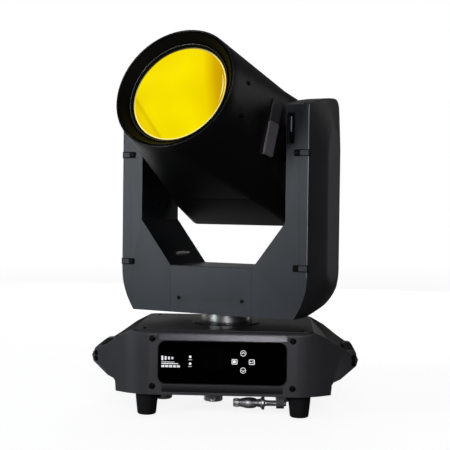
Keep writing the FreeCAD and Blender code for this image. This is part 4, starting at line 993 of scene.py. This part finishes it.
def brow_and_chin():
    """The rolled band above the window, which leans back to the deck, and the lip below it."""
    window_low, window_high, _ = base_box("display_window")
    frame_low, frame_high, _ = base_box("base_front_frame")
    front, top = frame_low.y, frame_high.z
    start, half = window_high.z + 1.2, window_high.x + 2.5
    shares = [k / 10 for k in range(11)]

    def brow(inset):
        return [(front - 1.7 + 2.1 * t + 5.6 * max(0.0, t - 0.55) ** 2 + inset * 0.8,
                 start + inset + (top - 0.7 - start - 2 * inset) * t) for t in shares]

    front_lip("front_frame_brow", ((-half, 0.9), (-half + 2, 0.2), (-half + 5, 0.0), (0, 0.0),
                                   (half - 5, 0.0), (half - 2, 0.2), (half, 0.9)),
              brow, front, "brow_satin")
    below = window_low.z - 1.2

    def chin(_):
        return [(front - 0.7 * math.sin(math.pi * (0.16 + 0.60 * t)) + 1.2 * t * t,
                 below - (below - 0.6) * t) for t in shares]

    front_lip("front_frame_chin", ((-half + 9, 0), (0, 0), (half - 9, 0)), chin, front,
              "black_sheet")


def strip(mesh, left, right, z, tall, face):
    """A thin raised printed bar on the window, from left to right."""
    outline = softened(rect(left, z - tall / 2, right, z + tall / 2), 0.2, 2)
    prism(mesh, outline, face - 0.05, face + 0.2, "y")


def window():
    """The gloss panel with its rubber gasket, and generic printed marks that glow as painted light.
    """
    low, high, (x, y, z) = base_box("display_window")
    half_x, half_z, face = (high.x - low.x) / 2, (high.z - low.z) / 2, low.y
    weigh_normals(piece("display_window_glass", cad_copy("display_window"), "base", "window_gloss",
                        "display_window", 0.3))
    loops = [lift(square_outline(half_x - inset, half_z - inset, 12.7 - inset, (x, z), 12), y, "y")
             for inset, y in ((-0.25, face + 1.2), (-0.25, face - 0.35), (0.9, face - 0.35),
                              (1.3, face + 0.1), (1.3, face + 1.2))]
    piece("display_window_gasket", skin(new(), loops, wrap=True), "base", "foot_rubber")

    marks, left = new(), -97.5
    bars = [(left, -76.5, 52.4, 0.8), (left, -70.5, 49.8, 1.5)]
    bars += [(left + 6.2 * k, left + 5 + 6.2 * k, 45.6, 3.4) for k in range(5)]
    bars += [(left + 5.4 * k, left + 2.9 + 5.4 * k, 58.6, 7.0 - 1.2 * k) for k in range(4)]
    bars += [(-54.4, -48.4, z - 0.4, 0.8) for z in (57.0, 46.2)]
    for bar in bars:
        strip(marks, *bar, face)
    piece("window_print_bars", marks, "base", "indicator_white", look="window_print_painted_glow")


def ring_print(mesh, outer, inner, face):
    """A printed outline between two loops."""
    low, proud = face + 0.1, face - 0.06
    skin(mesh, [lift(outline, y, "y") for outline, y in
                ((outer, low), (outer, proud), (inner, proud), (inner, low))], wrap=True)


def buttons():
    """Four soft keys with outlined icons: a list, two chevrons and a return frame."""
    half = 5.15
    chevron = [(-1, -0.40), (0, 0.55), (1, -0.40), (1, 0.08), (0, 1.05), (-1, 0.08)]
    for name in ("menu", "up", "down", "enter"):
        node = name + "_button"
        low, _, (x, _, z) = base_box(node)
        face, middle = low.y, (x, z)
        loops = [lift(square_outline(size, size, 3, middle, 8), face + back, "y")
                 for size, back in ((half + 1.1, 5.7), (half + 1.1, 4.1), (half, 4.1), (half, 0.5),
                                    (half - 0.15, 0.18), (half - 0.6, 0), (half - 1.2, 0))]
        piece(node + "_cap", skin(new(), loops), node, "button_plastic", node)
        icon = new()
        if name in ("up", "down"):
            ring_print(icon, circle(4.6, middle), circle(3.95, middle), face)
            turn = 1 if name == "up" else -1
            shape = [(x + 2.5 * a, z + turn * (2.375 * b - 0.3)) for a, b in chevron]
        else:
            ring_print(icon, square_outline(4.5, 4.1, 1.4, middle, 4),
                       square_outline(3.65, 3.25, 0.8, middle, 4), face)
        if name == "menu":
            shape = square_outline(1.9, 2.0, 0.3, (x - 0.6, z), 3)
        if name == "enter":
            strip(icon, x - 2.2, x + 2.2, z - 0.6, 0.6, face)
            shape = [(x - 2.9, z - 0.6), (x - 1.5, z + 0.6), (x - 1.5, z - 1.8)]
        prism(icon, shape, face - 0.07, face + 0.1, "y")
        if name == "menu":
            for k in (-1, 0, 1):
                strip(icon, x + 1.7, x + 3.0, z + 1.4 * k, 0.55, face)
        if name == "enter":
            strip(icon, x + 1.7, x + 2.3, z + 0.5, 2.6, face)
        # The icons' print glows: painted light.
        piece(node + "_icon", icon, node, "indicator_white", look="button_print_painted_glow")


def status_lights():
    """Two domed light pipes beside the printed marks."""
    low, high, middle = base_box("status_leds")
    mesh, radius = new(), (high.x - low.x) / 2
    profile = [(0.05, low.y), (radius * 0.8, low.y), (radius * 0.95, low.y + 0.08),
               (radius, low.y + 0.25), (radius, high.y)]
    for z in (low.z + radius, high.z - radius):
        turned(mesh, profile, "y", (middle[0], 0, z), 32, wrap=False)
    piece("status_light_pipes", mesh, "base", "indicator_white", "status_leds")


def display():
    """The dark display behind the window, with a thin border."""
    low, high, (x, _, z) = base_box("lcd_screen")
    face = base_box("display_window")[0].y
    half_x, half_z = (high.x - low.x) / 2, (high.z - low.z) / 2
    loops = [lift(square_outline(half_x - inset, half_z - inset, 1.2, (x, z), 4), y, "y")
             for inset, y in ((0, high.y), (0, face), (0.05, face - 0.04), (0.6, face - 0.04))]
    piece("lcd_panel", skin(new(), loops), "base", "lcd", "lcd_screen")


def feet():
    """Tapered rubber feet with a moulded collar, a rolled tread edge and a steel bolt inside."""
    for node in ("foot_front_left", "foot_front_right", "foot_rear_left", "foot_rear_right"):
        low, high, (x, y, _) = base_box(node)
        middle, top, floor, radius = (x, y, 0), high.z, low.z, (high.x - low.x) / 2
        taper = 4 / (top - floor)

        def at(z):
            return radius - taper * (top - z)

        tread = [(at(floor) - inset, floor + up) for inset, up in
                 ((0.9, 0.6), (2.0, 0), (4.2, 0), (4.6, 0.7), (5.4, 0.7), (5.8, 0))]
        profile = [(6, top), (radius, top), (radius, top - 2.6), (at(top - 3.6) - 0.7, top - 3.6),
                   (at(top - 5) - 0.7, top - 5), (at(top - 6), top - 6), (at(top - 20), top - 20),
                   (at(floor + 4), floor + 4), (at(floor + 2) - 0.2, floor + 1.8)]
        profile += tread + [(7, floor), (6, floor + 1)]
        piece(node + "_rubber", turned(new(), profile, centre=middle, count=72), "base",
              "foot_rubber", node)
        washer = softened(rect(2.6, floor + 20, 5.9, floor + 21.4), 0.3, 2)
        mesh = turned(new(), washer, centre=middle, count=32)
        bolt = [(0.1, 18.2), (2.8, 18.2), (3.2, 18.6), (3.2, 20.4), (0.1, 20.4)]
        turned(mesh, [(r, floor + up) for r, up in bolt], "z", middle, 24)
        piece(node + "_bolt", mesh, "base", "bright_steel")


def handles():
    """Rounded carrying bars with a finely ribbed grip zone."""
    ridges, reach = 22, 46
    last = ridges * 4
    for node in ("carry_handle_left", "carry_handle_right"):
        piece(node + "_bar", cad_copy(node), "base", "black_casting", node, 0.7)
        low, high, (x, _, z) = base_box(node)
        half_x, half_z = (high.x - low.x) / 2 - 0.15, (high.z - low.z) / 2 - 0.15
        loops = []
        for k in range(last + 1):
            proud = (0.05, 0.42, 0.5, 0.42)[k % 4] if 0 < k < last else -0.6
            outline = square_outline(half_x + proud, half_z + proud, 6.9, (x, z), 6)
            loops.append(lift(outline, -reach + 2 * reach * k / last, "y"))
        piece(node + "_grip", skin(new(), loops), "base", "foot_rubber")


def base_screws():
    """The window's frame screws, the handle screws at the wing tips, and near-black painted shade
    in their recesses.
    """
    screws("window_frame_screws", "base", [((0, -1, 0), (x, -FRONT, z)) for x, z in FRAME_SCREWS],
           4.0, 2.0, stands_for="panel_screws")
    tip = 212.0
    behind = FRONT - (tip - FLAT_HALF) * math.tan(SWEEP)
    spots = [(Vector((i * math.sin(SWEEP), j * math.cos(SWEEP), 0)), (i * tip, j * behind, z))
             for i, j in CORNERS for z in (47.8, 57.2)]
    screws("handle_tip_screws", "base", spots, 3.2, 1.6, False, "handle_screws")
    # Painted shade: near-black cups round the tip screws and liners in the frame screws' cups.
    dark = new()
    cup = softened([(4.6, -0.6), (4.6, 0.14), (3.0, 0.14), (3.0, -0.6)], 0.1, 2)
    for direction, spot in spots:
        turned(dark, cup, count=32, place=facing(direction, spot))
    liner = softened([(5.15, -132.0), (5.15, -129.9), (4.0, -129.9), (4.0, -130.3), (4.9, -130.3),
                      (4.9, -132.0)], 0.08, 2)
    for x, z in FRAME_SCREWS:
        turned(dark, liner, "y", (x, 0, z), 40)
    piece("screw_recess_shade_liners", dark, "base", "black_screw", look="recess_painted_shade")


def underside():
    """Silver rigging hardware: quarter-turn receptacles with ears, the safety boss and a lug."""
    low, high, _ = base_box("quick_lock_receptacles")
    radius, drop = 15.5, -low.z
    x, y = high.x - radius, high.y - radius
    drums, ears = new(), new()
    drum = [(5.2, 0), (radius, 0), (radius, -2.2), (radius - 1.4, -2.9), (radius - 1.4, -4.4),
            (radius - 0.4, -5.0), (radius - 0.4, -drop + 2.6), (radius - 1.6, -drop + 0.8),
            (radius - 3, -drop), (9.4, -drop), (8.6, -drop + 1.6), (6.4, -drop + 1.6),
            (5.2, -drop + 2.4)]
    ear = softened([(radius - 2, -5), (radius + 7.5, -3.6), (radius + 7.5, 3.6), (radius - 2, 5)],
                   2.5, 3)
    for i, j in CORNERS:
        turned(drums, drum, "z", (x * i, y * j, 0), 64)
        for turn in (TAU / 8, TAU * 5 / 8):
            place = Matrix.Translation((x * i, y * j, 0)) @ Matrix.Rotation(turn, 4, "Z")
            prism(ears, ear, -2.6, -0.02, "z", place)
            seat = place @ facing((0, 0, -1), (radius + 4.2, 0, -2.5))
            socket_screw(ears, seat, 2.4, 1.5, False)
    piece("quick_lock_drums", drums, "base", "bright_steel", "quick_lock_receptacles")
    piece("quick_lock_ears", ears, "base", "bright_steel", bevel=0.3)

    boss = [(4, -14.5), (12.5, -14.5), (14.4, -13.9), (15.5, -12.6), (15.5, -2.4), (14.6, -1.8),
            (15.5, -1.2), (15.5, 0), (4, 0)]
    lugs = turned(new(), boss, "z", (-16, -95, 0), 72)
    turned(lugs, softened(rect(3.5, -111.4, 5.4, -108), 0.5, 3), "y", (-16, 0, -8), 40)
    lug = softened([(-8, -24, 6), (8, -24, 6), (8, -4, 1), (11, 0, 0.5), (-11, 0, 0.5),
                    (-8, -4, 1)], 2, 5)
    prism(lugs, [(a - 100, b) for a, b in lug], 86.6, 99.4, "x")
    piece("rigging_lug_castings", lugs, "base", "bright_steel", "rigging_lugs", 0.5)


def wing_bolt():
    """The clamp bolt: knurled tip, rough cast wings, flange, neck and threaded end."""
    axis, grips, threads = (0, -100, -16), 24, 20
    tip = [(0.2, 17), (5.6, 17), (6.6, 17.9), (6.8, 19), (6.8, 27), (6.2, 28), (6.8, 29)]
    body = [(7.6, 33), (8.6, 38), (8.8, 43), (7.6, 47), (6.0, 51), (5.6, 55), (6.6, 57), (6.8, 61),
            (8.6, 61.4), (8.6, 62.6), (10.3, 63.0), (10.7, 63.6), (10.7, 67.0), (10.3, 67.6),
            (6.0, 68), (5.0, 69), (5.0, 71)]
    thread = [(radius, 71.5 + 1.5 * k + rise) for k in range(threads)
              for radius, rise in ((4.35, 0), (4.95, 0.75))]
    profile = tip + body + thread + [(4.3, 101.8), (3.6, 103), (0.2, 103)]
    mesh = turned(new(), profile, "x", axis, 56, wrap=False)

    def about(angle):
        return Matrix.Translation(axis) @ Matrix.Rotation(angle, 4, "X")

    wing = softened([(30, 3), (33, 9.4, 3), (42, 11.6, 4), (52, 10.2, 3), (57, 5, 2), (52, 3)],
                    2, 5)
    for angle in (0.5, math.pi + 0.5):
        prism(mesh, wing, -2.4, 2.4, "z", about(angle))
    ridge = [(19.5, 6.5), (26.5, 6.5), (26.2, 7.3), (19.8, 7.3)]
    for k in range(grips):
        prism(mesh, ridge, -0.35, 0.35, "z", about(TAU * k / grips))
    piece("rigging_bolt_cast", mesh, "rigging_bolt", "cast_silver", "rigging_bolt", 0.35)


def deck():
    """Deck screws, and the bearing's flange screws."""
    top = base_box("base_top_cover")[1].z
    screw_x, screw_y, flange_radius, flange = 128, 106, 50, 1.3
    mesh = new()
    for i, j in CORNERS:
        socket_screw(mesh, facing((0, 0, 1), (screw_x * i, screw_y * j, top)), 3.2, 1.6)
    for x, y in circle(flange_radius, count=12)[1::2]:
        socket_screw(mesh, facing((0, 0, 1), (x, y, top + flange)), 2.6, 0.6, False)
    piece("deck_screws", mesh, "base", "black_screw")


def rear_panel():
    """Power and data sockets with shells, keys and pins, a fuse holder, ribs and a blank plate."""
    low, high, (_, _, z) = base_box("power_sockets")
    face, radius = high.y, (high.z - low.z) / 2
    floor, seat, root = 112, 98, 111
    power, pins, data, inserts = new(), new(), new(), new()

    def pin_ring(count, turn, reach, x, profile, sides):
        for k in range(count):
            angle = TAU * k / count + turn
            place = (x + reach * math.cos(angle), 0, z + reach * math.sin(angle))
            turned(pins, profile, "y", place, sides)

    shell = [(9.0, floor), (9.0, face - 0.8), (9.6, face - 0.2), (radius - 1.2, face),
             (radius - 0.3, face - 0.6), (radius, face - 1.4), (radius, face - 5.1),
             (12.9, face - 5.1), (12.9, seat), (2, seat), (2, floor)]
    core = [(0.1, root), (5.4, root), (5.4, face - 3.4), (4.8, face - 2.8), (0.1, face - 2.8)]
    for x in (low.x + radius, high.x - radius):
        turned(power, shell, "y", (x, 0, z), 72)
        turned(power, core, "y", (x, 0, z), 40)
        pin_ring(3, 0.4, 7.2, x, [(0.1, root), (0.9, root), (0.9, face - 4.2), (0.1, face - 4)], 12)
    piece("power_socket_shells", power, "base", "socket_plastic", "power_sockets")

    low, high, _ = base_box("data_sockets")
    radius = (high.z - low.z) / 2
    shell = [(8.0, floor), (8.0, face - 0.6), (8.5, face), (radius - 0.9, face),
             (radius, face - 0.9), (radius, face - 5.1), (10.9, face - 5.1), (10.9, seat),
             (2, seat), (2, floor)]
    for x, count, depth in ((low.x + radius, 3, 113), (high.x - radius, 5, 120)):
        turned(data, shell, "y", (x, 0, z), 72)
        turned(inserts, rect(0.1, 110, 7.6, depth), "y", (x, 0, z), 48)
        pin_ring(count, 0.5, 4.4, x, [(0.1, root), (0.85, root), (0.85, face - 4),
                                      (0.4, face - 3.2), (0.1, face - 3.1)], 14)
        key = softened(rect(x - 3, z + 9.2, x + 3, z + 12.6), 0.6, 2)
        prism(data, key, face - 2.5, face + 0.6, "y")
    piece("data_socket_shells", data, "base", "socket_metal", "data_sockets")
    piece("data_socket_inserts", inserts, "base", "motor_black")
    piece("socket_pins", pins, "base", "socket_metal")

    panel = base_box("connector_panel")[1].y
    fixings = new()
    for x in (-84, -48, 10, 42):
        for i in SIDES:
            seat = facing((0, 1, 0), (x + 13.2 * i, panel, z + 16 * i))
            socket_screw(fixings, seat, 2.0, 1.2, False)
    for i, j in CORNERS:
        socket_screw(fixings, facing((0, 1, 0), (i * 98, panel, 53 + j * 31)), 2.8, 1.5)
    piece("connector_panel_screws", fixings, "base", "black_screw")

    cap = [(0.1, 0), (8.2, 0), (8.2, 2), (7.2, 2.6), (6.2, 2.6), (6.0, 9), (5.2, 9.8), (0.1, 9.8)]
    fuse_holder = turned(new(), [(r, panel + out) for r, out in cap], "y", (-18, 0, z), 40)
    prism(fuse_holder, rect(-22.6, z - 0.6, -13.4, z + 0.6), panel + 9.6, panel + 10.3, "y")
    piece("fuse_holder_cap", fuse_holder, "base", "motor_black", bevel=0.2)

    plate = prism(new(), softened(rect(62, 30, 94, 76), 2, 3), panel - 0.1, panel + 0.5, "y")
    piece("rating_plate_blank", plate, "base", "bare_aluminium", bevel=0.15)
    lines = new()
    for k in range(6):
        left, right, top = 66, 82 + 4 * (k % 3), 69 - 6.4 * k
        outline = [(left, top), (left, top - 1), (right, top - 1), (right, top)]
        prism(lines, outline, panel + 0.4, panel + 0.6, "y")
    piece("rating_plate_bars", lines, "base", "black_screw")

    ribs = new()
    for k in range(9):
        for x, top in ((5.0 * k - 106, 30), (5.0 * k + 66, 26)):
            prism(ribs, softened(rect(x - 0.9, 18, x + 0.9, top), 0.8, 3), panel - 0.05,
                  panel + 0.55, "y")
    piece("connector_panel_ribs", ribs, "base", "black_sheet", bevel=0.2)


# ---- carried-over CAD nodes ----

def dress_cad():
    """Every CAD node takes its slot's material, and those that stay in sight get rounded edges."""
    slots = {part["node"]: part["material_slot"] for part in frame["record"]["subparts"]}
    for name, thing in frame["nodes"].items():
        thing.data.materials.clear()
        thing.data.materials.append(LOOKS[slots[name]])
    # The deck takes a material whose side slopes carry a painted reflection.
    frame["nodes"]["base_top_cover"].data.materials[0] = LOOKS["deck_sheet"]
    for name, width in (("yoke_frame", 0.7), ("web_front_cover", 0.3), ("web_rear_cover", 0.3),
                        ("base_top_cover", 1.2), ("base_tray", 0.6), ("connector_panel", 0.5)):
        thing = frame["nodes"][name]
        flat = thing.modifiers.new("flat", "DECIMATE")  # joins flat faces: only real edges bevel
        flat.decimate_type = "DISSOLVE"
        flat.angle_limit = math.radians(0.6)
        round_edges(thing, width)


# ---- stage, lights and camera, in metres ----

def area_light(name, spot, aim, size, power, color=(1, 1, 1)):
    light = bpy.data.lights.new(name, "AREA")
    light.shape = "RECTANGLE"
    light.size, light.size_y = size
    light.energy = power
    light.color = color
    holder = bpy.data.objects.new(name, light)
    bpy.context.scene.collection.objects.link(holder)
    holder.location = spot
    holder.rotation_euler = (Vector(aim) - Vector(spot)).to_track_quat("-Z", "Y").to_euler()
    return holder


def stage_material(name, value, centre_glow=1.0):
    """A matt stage surface; the glow can be weaker under the object than far away from it."""
    material, tree, shader = new_material(name)
    glow = 1.0
    if centre_glow < 1:
        spot = add_node(tree, "TexCoord", {}).outputs["Object"]
        away = add_node(tree, "VectorMath", {0: spot}, operation="LENGTH").outputs["Value"]
        glow = ranged(tree, away, 0.5, 4.5, centre_glow, 1.0)
    fill(tree, shader, {"Base Color": grey(value), "Roughness": 0.9, "Specular IOR Level": 0.1,
                        "Emission Color": grey(1), "Emission Strength": glow})
    return material


def stage():
    """A pale floor under the feet, and a white dome that only the camera sees."""
    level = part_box("foot_front_left")[0].z - 0.0002
    bpy.ops.mesh.primitive_circle_add(vertices=96, radius=14, fill_type="NGON",
                                      location=(0, 0, level))
    floor = bpy.context.object
    floor.name = "floor"
    floor.data.materials.append(stage_material("floor_white", 0.62, 0.86))
    bpy.ops.mesh.primitive_uv_sphere_add(segments=48, ring_count=24, radius=15)
    dome = bpy.context.object
    dome.name = "backdrop"
    dome.data.materials.append(stage_material("dome_white", 0))
    for thing in (floor, dome):
        thing.visible_diffuse = False
        thing.visible_glossy = False
        thing.visible_transmission = False
    dome.visible_shadow = False


def world():
    """Surroundings seen in reflections: bright behind on the left, dark on the near side."""
    made = bpy.data.worlds.new("studio")
    bpy.context.scene.world = made
    made.use_nodes = True
    tree = made.node_tree
    tone = ramp(tree, along(tree, "Generated", (-0.6, 0.8, 0.0)),
                (0.0, 0.02), (0.5, 0.08), (0.72, 0.14), (0.80, 0.24), (0.88, 0.68))
    fill(tree, tree.nodes["Background"], {"Color": tone, "Strength": 0.8})
    made.cycles_visibility.diffuse = False


def camera():
    """The viewing angle: almost level, a little to the right of the base's centre."""
    spot = Vector((85.8, -1762.8, 306.1)) * MM
    yaw, pitch, roll = (math.radians(a) for a in (-2.95, -1.18, 0.71))
    ahead = Vector((math.sin(yaw) * math.cos(pitch), math.cos(yaw) * math.cos(pitch),
                    math.sin(pitch)))
    right = Vector((math.cos(yaw), -math.sin(yaw), 0))
    up = right.cross(ahead)
    across = right * math.cos(roll) + up * math.sin(roll)
    upward = up * math.cos(roll) - right * math.sin(roll)
    data = bpy.data.cameras.new("camera")
    data.sensor_width = 36
    data.lens = 82.29
    holder = bpy.data.objects.new("camera", data)
    bpy.context.scene.collection.objects.link(holder)
    turn = Matrix((across, upward, -ahead)).transposed().to_4x4()
    holder.matrix_world = Matrix.Translation(spot) @ turn
    bpy.context.scene.camera = holder


def lights():
    area_light("softbox_left", (-2.05, -1.35, 0.50), (0, 0, 0.3), (0.8, 0.8), 12.6,
               (0.88, 0.95, 1.0))
    area_light("softbox_top", (-0.2, 0.2, 2.2), (0, 0, 0.2), (1.2, 1.0), 2.2)
    area_light("front_fill", (0.25, -2.5, 1.0), (0, 0, 0.2), (1.2, 0.8), 14, (1.0, 0.98, 1.0))
    area_light("strip_right", (1.75, 1.0, 0.6), (0, 0, 0.3), (0.5, 1.4), 1.7)
    behind = area_light("softbox_back", (0.35, 2.4, 0.5), (0, 0, 0.25), (1.4, 1.0), 14)
    behind.visible_glossy = False
    glint = area_light("panel_glint", (0.06, -2.25, 0.55), (0, -0.13, 0.09), (0.08, 0.30), 7.0,
                       (0.93, 0.90, 1.0))
    glint.visible_diffuse = False


dress_cad()
for make in (barrel, rear_housing, seam_band, hood, lens, side_straps, hubs, fan):
    make()
for cover_side in SIDES:
    side_cover(cover_side)
for make in (yoke_details, tilt_lock, pan_lock, inner_arm_details, pan_collar):
    make()
for plate_node in ("base_front_frame", "base_rear_frame"):
    end_frame(plate_node)
for make in (brow_and_chin, window, buttons, status_lights, display, feet, handles, base_screws,
             underside, wing_bolt, deck, rear_panel, stage, world, lights, camera):
    make()
bpy.context.scene.view_settings.view_transform = "Standard"
